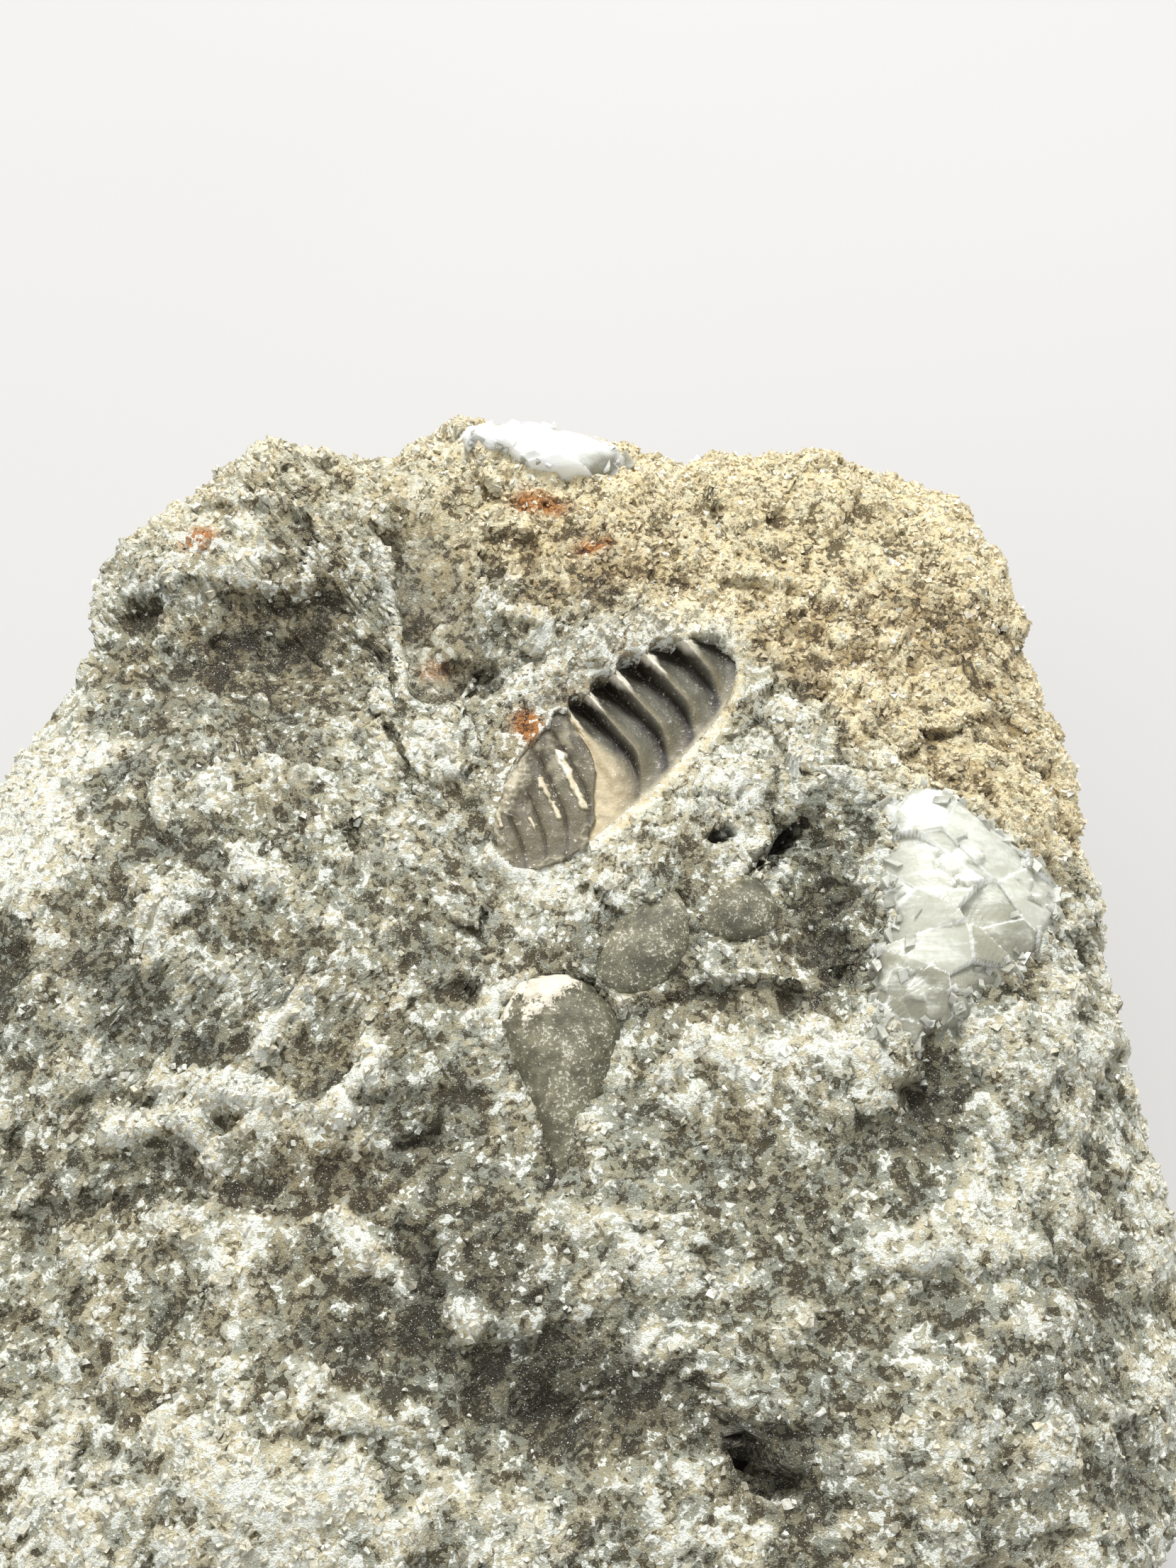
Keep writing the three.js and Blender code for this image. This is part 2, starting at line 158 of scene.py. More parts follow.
def slab(columns, rows, rings):
    # a grid whose border goes down in rings and closes on one middle point
    grid = np.arange((rows + 1) * (columns + 1)).reshape(rows + 1, columns + 1)
    top = quads(grid[:-1, :-1], grid[:-1, 1:], grid[1:, 1:], grid[1:, :-1])
    border = np.concatenate([grid[:-1, -1], grid[-1, :0:-1], grid[:0:-1, 0], grid[0, :-1]])
    loops = grid.size + np.arange(rings * len(border)).reshape(rings, -1)
    loops = np.vstack([border, loops])
    ahead = np.roll(loops, -1, axis=1)
    wall = quads(loops[:-1], loops[1:], ahead[1:], ahead[:-1])
    middle = np.full(len(border), loops.max() + 1)
    return np.concatenate([top, wall, np.stack([middle, ahead[-1], loops[-1]], axis=1)]), border


def normalsOf(points, triangles):  # at each point the sum of its triangles' cross products
    a, b, c = (points[triangles[:, k]] for k in range(3))
    cross = np.cross(b - a, c - a)
    total = np.stack([
        sum(np.bincount(triangles[:, k], cross[:, axis], len(points)) for k in range(3))
        for axis in range(3)
    ], axis=1)
    return total / np.maximum(np.linalg.norm(total, axis=1, keepdims=True), 1e-12)


def blurred(values, triangles, rounds):  # each round takes a point halfway to its neighbours' mean
    start = triangles.ravel()
    end = np.roll(triangles, -1, axis=1).ravel()
    count = np.bincount(start, minlength=len(values))[:, None]
    for _ in range(rounds):
        mean = np.stack([np.bincount(start, column[end], len(values)) for column in values.T], axis=1)
        values = (values + mean / count) / 2
    return values


def makePiece(name, points, triangles, finish, nodes, smooth=True, tint=None, fields=None):
    mesh = bpy.data.meshes.new(name)
    mesh.vertices.add(len(points))
    mesh.vertices.foreach_set("co", (points * mm).astype(np.float32).ravel())
    mesh.loops.add(triangles.size)
    mesh.loops.foreach_set("vertex_index", triangles.astype(np.int32).ravel())
    mesh.polygons.add(len(triangles))
    mesh.polygons.foreach_set("loop_start", np.arange(0, triangles.size, 3, dtype=np.int32))
    mesh.polygons.foreach_set("use_smooth", np.full(len(triangles), smooth))
    mesh.update(calc_edges=True)
    if tint is not None:
        colours = np.column_stack([tint, np.ones(len(points))]).astype(np.float32)
        mesh.attributes.new("tint", "FLOAT_COLOR", "POINT").data.foreach_set("color", colours.ravel())
    for field, values in (fields or {}).items():
        data = mesh.attributes.new(field, "FLOAT", "POINT").data
        data.foreach_set("value", values.astype(np.float32))
    mesh.materials.append(finish)
    piece = bpy.data.objects.new(name, mesh)
    bpy.context.scene.collection.objects.link(piece)
    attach(piece, "root")
    if nodes:
        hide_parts(*nodes)
    print(f"{name}: {len(triangles)} triangles")


# materials

class Value:  # a socket that takes part in sums
    def __init__(self, finish, socket):
        self.finish, self.socket = finish, socket

    def sum(self, operation, first, second):
        return self.finish.node("ShaderNodeMath", {"operation": operation}, {0: first, 1: second})

    def __add__(self, other): return self.sum("ADD", self, other)
    def __radd__(self, other): return self.sum("ADD", other, self)
    def __sub__(self, other): return self.sum("SUBTRACT", self, other)
    def __rsub__(self, other): return self.sum("SUBTRACT", other, self)
    def __mul__(self, other): return self.sum("MULTIPLY", self, other)
    def __rmul__(self, other): return self.sum("MULTIPLY", other, self)


class Finish:  # one material and its nodes
    def __init__(self, name):
        self.material = bpy.data.materials.new(name)
        self.material.use_nodes = True
        self.tree = self.material.node_tree
        self.tree.nodes.clear()

    def node(self, kind, settings=None, sockets=None, out=0):
        made = self.tree.nodes.new(kind)
        for key, value in (settings or {}).items():
            setattr(made, key, value)
        for key, value in (sockets or {}).items():
            if isinstance(value, Value):
                self.tree.links.new(value.socket, made.inputs[key])
            else:
                made.inputs[key].default_value = value
        return Value(self, made.outputs[out]) if made.outputs else None

    def place(self):
        return self.node("ShaderNodeTexCoord", out="Object")

    def field(self, name, out="Fac"):
        return self.node("ShaderNodeAttribute", {"attribute_name": name}, out=out)

    def noise(self, size, detail=2, rough=0.5, stretch=None):  # from 0 to 1, lumps of a size in millimetres
        place = self.place()
        if stretch:
            turned = {"Vector": place, "Rotation": (0, 0, 0.5), "Scale": stretch}
            place = self.node("ShaderNodeMapping", None, turned)
        sockets = {"Vector": place, "Scale": 1 / (size * mm), "Detail": detail, "Roughness": rough}
        return self.node("ShaderNodeTexNoise", None, sockets)

    def chances(self, size):  # two random numbers for each grain, the grains drawn in bent space
        place = self.place()
        sway = self.node("ShaderNodeTexNoise", None, {"Vector": place, "Scale": 0.6 / (size * mm)}, "Color")
        bent = self.node("ShaderNodeVectorMath", {"operation": "SCALE"}, {0: sway, "Scale": 1.2 * size * mm})
        bent = self.node("ShaderNodeVectorMath", None, {0: place, 1: bent})
        cells = self.node("ShaderNodeTexVoronoi", None, {"Vector": bent, "Scale": 1 / (size * mm)}, "Color")
        return [self.node("ShaderNodeSeparateColor", None, {0: cells}, channel) for channel in (0, 1)]

    def between(self, value, low, high):  # eased 0 to 1
        settings = {"interpolation_type": "SMOOTHSTEP"}
        return self.node("ShaderNodeMapRange", settings, {0: value, 1: low, 2: high})

    def mix(self, share, first, second, way="MIX"):
        settings = {"data_type": "RGBA", "blend_type": way}
        colours = [c if isinstance(c, Value) else (*c, 1) for c in (first, second)]
        return self.node("ShaderNodeMix", settings, {0: share, 6: colours[0], 7: colours[1]}, 2)

    def bump(self, height, depth, strength=1.0):  # depth in millimetres
        sockets = {"Height": height, "Distance": depth * mm, "Strength": strength}
        return self.node("ShaderNodeBump", None, sockets)

    def surface(self, **sockets):
        named = {key.replace("_", " "): value for key, value in sockets.items()}
        shader = self.node("ShaderNodeBsdfPrincipled", None, named)
        self.node("ShaderNodeOutputMaterial", None, {"Surface": shader})
        return self.material


# the rock: the same rim, bevels, lumps, ledges and chips as its solid, with the grain added

rock = dict(
    origin=np.array([2.85, 6.5, 19.5]),
    lean=math.radians(14),
    rim=np.array([
        (16.8, -8), (16.2, -3.5), (15.8, 1), (15, 5.5), (14.3, 10), (12.1, 13.2), (8.4, 14.7),
        (4, 14.1), (0.6, 14.1), (-3.6, 13.9), (-7.2, 12), (-10.6, 12.3), (-14, 11.2), (-16.4, 9.2),
        (-16.5, 5.4), (-18.6, 1.2), (-21.4, -3.5), (-22.7, -9.5), (-22.2, -16), (-19, -22),
        (-13.5, -26.8), (-6, -29), (2, -29.2), (9.5, -27.8), (15.2, -24), (17.8, -17.5),
    ]),
    rimCentre=np.array([-2.5, -6.5]),
    footprintShare=0.93, sideSwell=1.6, halfHeight=10, underCut=3,
    breaks=[  # facing, lean, away
        (2, 4, 20), (46, -5, 22.6), (92, -9, 19.8), (143, 5, 20.6),
        (184, -7, 20.6), (229, 13, 21), (276, 7, 22), (318, -6, 22.4),
    ],
    breakRound=0.7,
    bevels=[  # from, to, slope, round
        ((4.6, 5.2), (0.59, 0.81), 0.3, 1.6), ((12.9, 0), (1, 0), 0.85, 0.9),
        ((0, 12.2), (0, 1), 0.8, 0.8), ((-15.4, 3), (-0.9, 0.44), 0.75, 1.1),
        ((0, -24.5), (0, -1), 0.75, 1.5),
    ],
    lumps=[  # at, size, turn, high
        ((-11, 5), (4.4, 2.3), 8, -1.7), ((-10.6, 13.2), (1.7, 1.9), 0, 1.4),
        ((-1.6, 13), (3.6, 1.8), 0, 1.5), ((8, 13), (1.6, 1.8), 0, 1.1),
        ((-3.3, 4), (1.3, 0.8), 20, -0.5), ((1.1, 1.7), (6.4, 2), 45, -0.5),
        ((3.6, -0.6), (5.4, 1.1), 44, 0.75), ((7.2, -4.4), (1.6, 2.4), -10, -1),
        ((-13, -3.5), (5, 4), 0, 0.9), ((-9.6, -10.6), (3.6, 1.1), -14, 0.9),
        ((-5.2, -11.8), (2.2, 1.2), 15, -0.7), ((10, -10.4), (1.5, 1.7), 0, -0.9),
        ((13.4, -8.4), (1.8, 1.6), 0, 0.7), ((-0.6, -18.6), (2.8, 1.5), 10, -0.8),
        ((4.9, -20.3), (1.6, 1.9), 0, -0.8), ((-9, -20.5), (4.2, 3), 20, 1.2),
        ((9.5, -18.5), (3.4, 4.2), 0, 0.9),
    ],
    ledges=[  # from, to, drop, reach
        ((-5.6, 2.8), (-6.9, 9.2), 0.6, 4.6), ((-13.4, -9.4), (-7.2, -10.6), 0.6, 3.6),
        ((-19.5, -13.2), (-12.5, -12.2), 0.5, 3.5), ((7.6, -0.8), (8.2, -7.4), 0.7, 2.2),
        ((-8.5, -16.2), (0.5, -16.8), 0.5, 4.2), ((7.4, -15.2), (14.5, -14), 0.5, 3.4),
        ((-15.6, 7.6), (-8.2, 7.4), 0.6, 3),
    ],
    ledgeFace=0.5,
    faceNoise=[(7, 0.5), (1.7, 0.09)],
    sideNoise=[(8, 0.7), (1.7, 0.4)],
    faceChips=dict(wave=3.4, high=0.17, tilt=0.12),
    sideChips=dict(wave=4.2, high=0.5, tilt=0.34),
    chipsAround=31,
    steps=236, rows=44,
    finePlace=(-0.12, 0.39), fineWidth=0.4, fineGain=1.6,  # where the grid is drawn closer
    crumbs=[(1.5, 0.07, 0.11), (0.72, 0.055, 0.14), (0.38, 0.045, 0.15)],  # wave, level, slant
    pits=[  # at, size, turn, deep
        ((-3.6, 4), (0.8, 0.45), 20, 0.35), ((-1.9, 4.4), (0.5, 0.35), 0, 0.3),
        ((5.85, -1.98), (1.5, 0.27), 47, 1.3), ((4.12, -1.65), (0.48, 0.24), 25, 0.7),
        ((10.1, -10.3), (0.7, 0.9), 0, 0.3), ((4.9, -20.3), (0.42, 0.85), 0, 1.1),
        ((-1.4, -18.8), (1.2, 0.4), 8, 0.4), ((0.2, -18.3), (0.6, 0.35), 0, 0.3),
        ((-12, -14.4), (0.5, 0.4), 0, 0.25), ((-6.2, -15.6), (0.8, 0.5), 10, 0.3),
        ((-4.7, -11.5), (0.8, 0.4), 20, 0.3), ((3.6, -6.8), (0.9, 0.5), 10, 0.2),
        ((7.7, -5.4), (0.8, 1.1), 0, 0.3), ((7.3, 3.6), (0.35, 0.45), 0, 0.3),
    ],
    ridges=[  # from, to, half width, high
        ((-8.1, -6.8), (-9.7, -8.8), 0.42, 0.4), ((-13.6, -10.9), (-11.4, -10.5), 0.5, 0.5),
        ((-11.4, -10.5), (-10.8, -11.6), 0.3, 0.45), ((-6.1, -8.8), (-7.1, -10.4), 0.45, 0.35),
        ((-12.8, -3.7), (-12.9, -5.7), 0.28, 0.35), ((-10.7, -2.7), (-9.5, -3.3), 0.35, 0.3),
        ((-4.9, 1.7), (-4.3, 0.6), 0.45, 0.3), ((-6.9, 8.8), (-5.8, 3.1), 0.16, 0.3),
        ((11.9, -10.3), (12, -11.1), 0.12, 0.3), ((12, -11.1), (11.2, -11.9), 0.12, 0.3),
        ((9.6, -14.4), (9.2, -15.4), 0.12, 0.3), ((9.2, -15.4), (8.4, -15.8), 0.12, 0.3),
        ((2, -9.2), (3.4, -8.2), 0.3, 0.35), ((3.4, -8.2), (4.8, -9.2), 0.3, 0.35),
        ((-7.1, -13.6), (-5.4, -15.2), 0.35, 0.3), ((-2.9, -2.4), (-1, -3.6), 0.4, 0.25),
    ],
    smoothPlaces=[  # at, size, turn: scars and shell where the grain is worn away
        ((-4.9, 6.3), (1.6, 3.2), 8), ((-8.8, 0), (0.5, 0.5), 0),
    ],
    palePlaces=[  # at, size, turn, how much
        ((-17.7, -1.5), (1.5, 1.6), 0, 2.5), ((-17, 1.3), (0.9, 0.8), 0, 1),
        ((-15.2, 1.2), (1.2, 0.5), 25, 1), ((-9, 0.5), (3.4, 1.4), 0, 0.3),
        ((1, 5.3), (4.2, 0.9), 22, 0.8), ((6.4, 1.2), (1.2, 2.8), -42, 0.5),
        ((-0.4, -3.7), (2.8, 0.7), 28, 0.3), ((-2.3, -6.9), (1.2, 0.6), 20, 0.8),
        ((-9.6, -10.3), (3.2, 0.6), -14, 0.8), ((3.4, -9.6), (2.2, 1.2), 0, 0.35),
        ((12, -12), (2, 2), 0, 0.25), ((-6, -21), (3.4, 1.6), 0, 0.35), ((-1, 12.5), (4, 1.6), 0, 0.6),
        ((8.2, -7.6), (1.4, 1), 0, 0.5), ((-11, 8.5), (3.5, 2), 0, 0.12),
        ((12, -17), (3, 4), 0, 0.2), ((1, -0.8), (5, 1), 45, 0.3),
        ((-12, -19), (6, 5), 0, 0.2),
    ],
    # dark patches painted on the face: mostly painted shade in hollows, holes and under ledges
    shadePlaces=[
        ((-11, 5.6), (4.2, 1.7), 8, 0.4), ((-3.2, 4.2), (1.4, 0.8), 0, 0.6),
        ((7.4, -4.6), (1.3, 2.2), -8, 0.5), ((-3, -15.2), (2.8, 1.4), 0, 0.6),
        ((0.5, -18.2), (3.4, 1.3), 0, 0.6), ((5, -20.8), (2.6, 1.8), 0, 0.6),
        ((8.4, -21), (2, 1.6), 0, 0.4), ((-9, -12.4), (3, 0.9), 0, 0.2),
        ((-2, -14.5), (5, 3), 0, 0.35), ((10, -10.4), (1.3, 1.6), 0, 0.5),
        ((-0.5, 3.6), (0.8, 1.6), 40, 0.2), ((-1, -11.8), (4, 1), 0, 0.25),
        ((8.6, 2.6), (1.6, 1.5), -40, 0.4), ((12.5, 2), (2, 3), 0, 0.3),
    ],
    brownEdge=[(-20, 9.4), (-8, 9.4), (-5, 7.2), (-1.6, 6.4), (3.9, 6.1), (6.3, 4.1), (7.4, 2.1),
               (8.4, 0.4), (10.1, -0.6), (12.4, -1.6), (30, -2)],
    rustPlaces=[
        ((-12.8, 9), (0.7, 0.5), 0), ((-1.6, 10.2), (1.1, 0.5), 0), ((0.2, 8.6), (0.7, 0.4), 20),
        ((-4.9, 4.3), (0.6, 0.4), 0), ((-1.9, 2.2), (0.5, 0.7), 30),
    ],
)
across = np.array([1.0, 0, 0])
upSlope = np.array([0, math.cos(rock["lean"]), math.sin(rock["lean"])])
outOfFace = np.array([0, -math.sin(rock["lean"]), math.cos(rock["lean"])])


def fromFace(u, v, w):  # a point of the leaning face, in space
    place = rock["origin"] + np.multiply.outer(u, across)
    return place + np.multiply.outer(v, upSlope) + np.multiply.outer(w, outOfFace)


def toFace(points):
    off = points - rock["origin"]
    return off @ across, off @ upSlope, off @ outOfFace


tail = dict(
    at=(0.9, 1.5), turn=math.radians(45), length=10.4,
    topFront=(2.1, 0.6, 3.4), topRear=(2.1, 0.3, 2.6), lowMargin=(-1.7, -0.7, 6),  # middle, ends, power
    depth=(1.25, 0.8), fan=(0.09, 0.43), ribHeight=(0.62, 0.26),  # front, rear
    start=5.55, frontPitch=1.42, rearPitch=0.8, border=0.7, bottom=-2.25, bend=0.3, lowSlope=0.09,
    arch=0.5, groove=0.26, lip=0.12, bank=0.7, steps=(420, 150),
    shellEdge=[
        (-1.65, -2.94), (-1.25, -2.22), (-0.63, -1.6), (-0.11, -0.98), (0.45, -0.73), (1.2, -0.45),
        (2.2, -0.3),
    ],
)


def toTail(u, v):  # along the tail and across it
    c, s = math.cos(tail["turn"]), math.sin(tail["turn"])
    offU, offV = u - tail["at"][0], v - tail["at"][1]
    return offU * c + offV * s, offV * c - offU * s


def fromTail(p, q):
    c, s = math.cos(tail["turn"]), math.sin(tail["turn"])
    return tail["at"][0] + p * c - q * s, tail["at"][1] + p * s + q * c


def margin(curve, p):  # an arch: the ends' height plus the rest times 1 - t to a power
    middle, ends, power = curve
    return ends + (middle - ends) * (1 - np.minimum(1, np.abs(p) / (tail["length"] / 2)) ** power)


def rearward(p):  # 0 at the tail's front, 1 at its rear
    return np.clip(0.5 - p / tail["length"], 0, 1)


def between(pair, t):
    return pair[0] + (pair[1] - pair[0]) * t


def ribCount(p, q):  # the pitch shrinks evenly, so the count of ribs is a logarithm
    spread = between(tail["fan"], ramp(rearward(p), 0.4, 0.75))
    root = p - spread * q + tail["bend"] * np.minimum(q + 0.2, 0) ** 2
    shrink = (tail["frontPitch"] - tail["rearPitch"]) / tail["length"]
    left = np.maximum(tail["frontPitch"] - shrink * (tail["start"] - root), 0.2)
    return np.log(tail["frontPitch"] / left) / shrink


def tailMargins(p):  # low and top, with an arch over each channel
    top = np.where(p > 0, margin(tail["topFront"], p), margin(tail["topRear"], p))
    arch = np.abs(np.sin(math.pi * ribCount(p, top))) ** 0.7 - 0.6
    low = margin(tail["lowMargin"], p) + tail["lowSlope"] * np.clip(p, 0, 4)
    return low, top + tail["arch"] * arch * ramp(p, -1.4, -0.2) * ramp(5.1 - np.abs(p), 0, 0.7)


def ribRise(count):  # 1 on a ridge and 0 in the groove, which lies just behind the ridge in front
    part, groove = np.mod(count, 1), tail["groove"]
    steep = ease(1 - part / groove)
    gentle = np.clip((part - groove) / (1 - groove), 0, 1) ** 1.5
    return np.where(part < groove, steep, gentle)


def tailPatch(p, q):  # 1 where the mould is smooth and tan, a strip along the shell's broken edge
    edge = np.interp(q, *np.transpose(tail["shellEdge"]))
    width = np.interp(q, [-1.6, -0.6, 0.2, 1.2], [2.3, 1.6, 0.8, 0.25])
    return ramp(1.15 - (p - edge) / width, 0, 0.9) * (1 - isShell(p, q))


def isShell(p, q):  # 1 on the rear, where the shell itself is left
    edge = np.interp(q, *np.transpose(tail["shellEdge"]))
    ragged = 0.08 * smoothNoise(p * 3.1, q * 3.1, 0 * p)
    return ramp(edge + ragged - p, -0.05, 0.05)


def tailHeight(p, q):
    # the mould's channels hang between sharp ridges, the shell's ribs stand between furrows
    t = rearward(p)
    count = ribCount(p, q)
    wave = np.abs(np.sin(math.pi * count))
    low, top = tailMargins(p)
    fade = ramp(q - low, tail["border"] * 0.4, tail["border"] * 1.6)
    high = between(tail["ribHeight"], t)
    floor = -between(tail["depth"], t)
    patch = tailPatch(p, q)
    mould = floor + ribRise(count) * fade * high * (1 - 0.85 * patch) + 0.2 * patch
    mould = mould - 0.35 * (1 - ribRise(count)) * ramp(q, 0, 1.9) * ramp(p, -1, 1)
    shell = floor + 0.32 + 0.14 * wave**0.6 * fade + 0.1 * ramp(-q, -1, 1.5)
    grain = layered([(0.5, 0.03), (0.2, 0.014)], p, q, 0 * p)
    return mould + (shell - mould) * isShell(p, q) + grain


beak = dict(
    at=(-0.9, -7.6, -0.75), turn=4, flat=0.62,
    leftEdge=[(-12.5, -1.2), (-11.3, -1.34), (-9.2, -1.72), (-7.9, -1.85), (-7.2, -3)],  # v, u
    rightEdge=[(-12.5, -0.8), (-11.3, -0.4), (-9.2, 0.36), (-7.6, 1.2)],
)


def beakProfile(t):  # a drop: round above, drawn out to a point below
    knots = np.array([(0, -5.6), (0.42, -4.6), (0.82, -3.4), (1.52, -1.6), (1.95, 0), (1.21, 1.2), (0, 1.7)])
    k = np.clip(t, 0, 1) * (len(knots) - 1)
    order = np.arange(len(knots))
    radius = np.interp(k, order, knots[:, 0])
    beyond, before = (np.interp(np.clip(k + off, 0, 6), order, knots[:, 0]) for off in (0.3, -0.3))
    radius = (2 * radius + (beyond + before)) / 4 * ramp(k, -0.2, 0.4) * ramp(6 - k, -0.05, 0.5)
    return np.where((t <= 0) | (t >= 1), 0, radius), np.interp(k, order, knots[:, 1])


domes = [  # name, node, at, size, turn, bottom
    ("dome", "shell_dome", (1.55, -5, -0.25), (1.45, 1.9, 0.45), -24, -2.1),
    ("domeSmall", "shell_dome_small", (4.35, -3.9, -0.3), (1.5, 1.15, 0.45), -20, -1.9),
]


def domeTop(u, v):  # how high the rock may stand: under the domes on their lower right sides
    height = 9 + 0 * u
    for name, node, at, size, turn, bottom in domes:
        near = oval(u, v, at, size, turn)
        shown = (near < 1) & (v - at[1] - u + at[0] < 0.35 * size[1])
        top = calmHeight(*at[:2]) + at[2] + size[2] * np.sqrt(np.maximum(1 - near, 0))
        height = np.where(shown, top - 0.05 - 0.2 * ramp(1 - near, 0, 0.5), height)
    return height


def rimPoint(turn):  # closed Catmull-Rom curve through the rim's points
    points = rock["rim"]
    at = np.mod(turn, 1) * len(points)
    k = np.floor(at).astype(int)
    t = (at - k)[..., None]
    p0, p1, p2, p3 = (points[(k + step) % len(points)] for step in (-1, 0, 1, 2))
    m1, m2 = (p2 - p0) / 2, (p3 - p1) / 2
    return p1 + m1 * t + (3 * (p2 - p1) - 2 * m1 - m2) * t**2 + (2 * (p1 - p2) + m1 + m2) * t**3


def ringOf(a, b):  # a square's point as rings: how far out, and how far round
    out = np.maximum(np.abs(a), np.abs(b))
    safe = np.where(out == 0, 1, out)
    x, y = a / safe, b / safe
    right = (x >= np.abs(y) - 1e-9) & (x > 0)
    upper = (y >= np.abs(x) - 1e-9) & (y > 0)
    left = (-x >= np.abs(y) - 1e-9) & (x < 0)
    return out, np.mod(np.select([right, upper, left], [y, 2 - x, 4 - y], 6 + x) / 8, 1)


def calmHeight(u, v):  # the bevels' soft ramps and the lumps alone
    w = 0 * u
    for start, to, slope, soft in rock["bevels"]:
        past = (u - start[0]) * to[0] + (v - start[1]) * to[1]
        w = w - slope * soft * np.logaddexp(0, past / soft)
    for at, size, turn, high in rock["lumps"]:
        w = w + high * np.exp(-oval(u, v, at, size, turn))
    return w


def faceHeight(u, v):
    # the calm shape with noise and plates, minus the ledges' drops
    warpU = u + 0.4 * smoothNoise(u / 1.3, v / 1.3, 7.5 + 0 * u)
    warpV = v + 0.4 * smoothNoise(u / 1.3, v / 1.3, 3.5 + 0 * u)
    chips = rock["faceChips"]
    w = calmHeight(u, v) + layered(rock["faceNoise"], u, v, 0 * u)
    w = w + plates(chips, warpU / chips["wave"], warpV / chips["wave"])
    for start, end, drop, reach in rock["ledges"]:
        run = (end[0] - start[0], end[1] - start[1])
        length = math.hypot(*run)
        along = ((warpU - start[0]) * run[0] + (warpV - start[1]) * run[1]) / length**2
        past = ((warpU - start[0]) * run[1] - (warpV - start[1]) * run[0]) / length
        ends = ramp(0.5 - np.abs(along - 0.5), -0.15, 0.1)
        w = w - drop * ends * ramp(past, 0, rock["ledgeFace"]) * np.maximum(0, 1 - past / reach)
    p, q = toTail(u, v)
    low, top = tailMargins(p)
    gap = np.maximum(np.maximum(q - top, low - q), np.abs(p) - tail["length"] / 2)
    t = rearward(p)
    ribs = between(tail["ribHeight"], t) * ramp(q, -0.6, 0.8) + 0.2 * ramp(-p, 0, 1.5)
    bank = tail["lip"] - between(tail["depth"], t) + ribs
    near = np.exp(-np.maximum(gap, 0) / tail["bank"])
    return w + (bank - w) * near


def beakTop(u, v):  # how high the rock may stand: under the beak, between the edges that show
    a = math.radians(beak["turn"])
    x = (u - beak["at"][0]) * math.cos(a) + (v - beak["at"][1]) * math.sin(a)
    y = (v - beak["at"][1]) * math.cos(a) - (u - beak["at"][0]) * math.sin(a)
    radius, length = beakProfile(np.linspace(0, 1, 200))
    reach = np.interp(y, length, radius, 0, 0)
    left, right = (np.interp(v, *np.transpose(beak[edge])) for edge in ("leftEdge", "rightEdge"))
    inside = np.minimum(np.minimum(u - left, right - u), reach - np.abs(x))
    top = beak["at"][2] + beak["flat"] * np.sqrt(np.maximum(reach**2 - x**2, 0))
    return np.where(inside > 0, top - 0.05 - 0.2 * ramp(inside, 0, 0.4), 9)


def breakReach(direction, z):  # the nearest fracture face, run softly into the next
    near = []
    for facing, lean, away in rock["breaks"]:
        tilt = math.radians(lean)
        share = np.maximum(0.05, np.cos(direction - math.radians(facing)) * math.cos(tilt))
        near.append((away - (z - rock["halfHeight"]) * math.sin(tilt)) / share)
    soft = rock["breakRound"]
    return -soft * np.log(sum(np.exp(-reach / soft) for reach in near))


def drawnCloser(count, at):  # -1 to 1 in steps that shrink around one place
    x = np.linspace(-1, 1, 2001)
    density = 1 + rock["fineGain"] * np.exp(-(((x - at) / rock["fineWidth"]) ** 2))
    reach = np.concatenate([[0], np.cumsum((density[1:] + density[:-1]) / 2)])
    return np.interp(np.linspace(0, reach[-1], count + 1), reach, x)


def rockPoints():
    # the face is a square drawn in rings out to the rim, and the sides go down from the rim
    steps, rows = rock["steps"], rock["rows"]
    lineA, lineB = (drawnCloser(steps, place) for place in rock["finePlace"])
    b, a = np.meshgrid(lineB, lineA, indexing="ij")
    out, turn = ringOf(a.ravel(), b.ravel())
    u, v = (rock["rimCentre"] + (rimPoint(turn) - rock["rimCentre"]) * out[:, None]).T
    w = faceHeight(u, v)
    triangles, border = slab(steps, steps, rows)
    top = fromFace(u, v, w)

    rim = top[border]
    middle = fromFace(*rock["rimCentre"], 0.0) * (1, 1, 0)
    outward = (rim - middle)[:, :2]
    rimReach = np.linalg.norm(outward, axis=1)
    share = np.linspace(0, 1, rows + 1)[1:, None]
    down = share * (rim[:, 2] / (rim[:, 2] + rock["underCut"]))
    z = rim[:, 2] - (rim[:, 2] + rock["underCut"]) * down
    narrower = 1 - (1 - rock["footprintShare"]) * down
    swollen = rimReach * narrower + rock["sideSwell"] * np.sin(math.pi * down)
    broken = np.minimum(swollen, breakReach(np.arctan2(outward[:, 1], outward[:, 0]), z))
    chips = rock["sideChips"]
    around = turn[border] * rock["chipsAround"] + 0 * z
    bumps = layered(rock["sideNoise"], rim[:, 0] + 0 * z, rim[:, 1] + 0 * z, z)
    bumps = bumps + plates(chips, around, z / chips["wave"], rock["chipsAround"])
    reach = rimReach + (broken + bumps - rimReach) * ease(down / 0.3)
    way = outward / rimReach[:, None]
    sides = np.concatenate([middle[:2] + way * reach[..., None], z[..., None]], axis=2).reshape(-1, 3)
    return np.concatenate([top, sides, middle[None]]), triangles


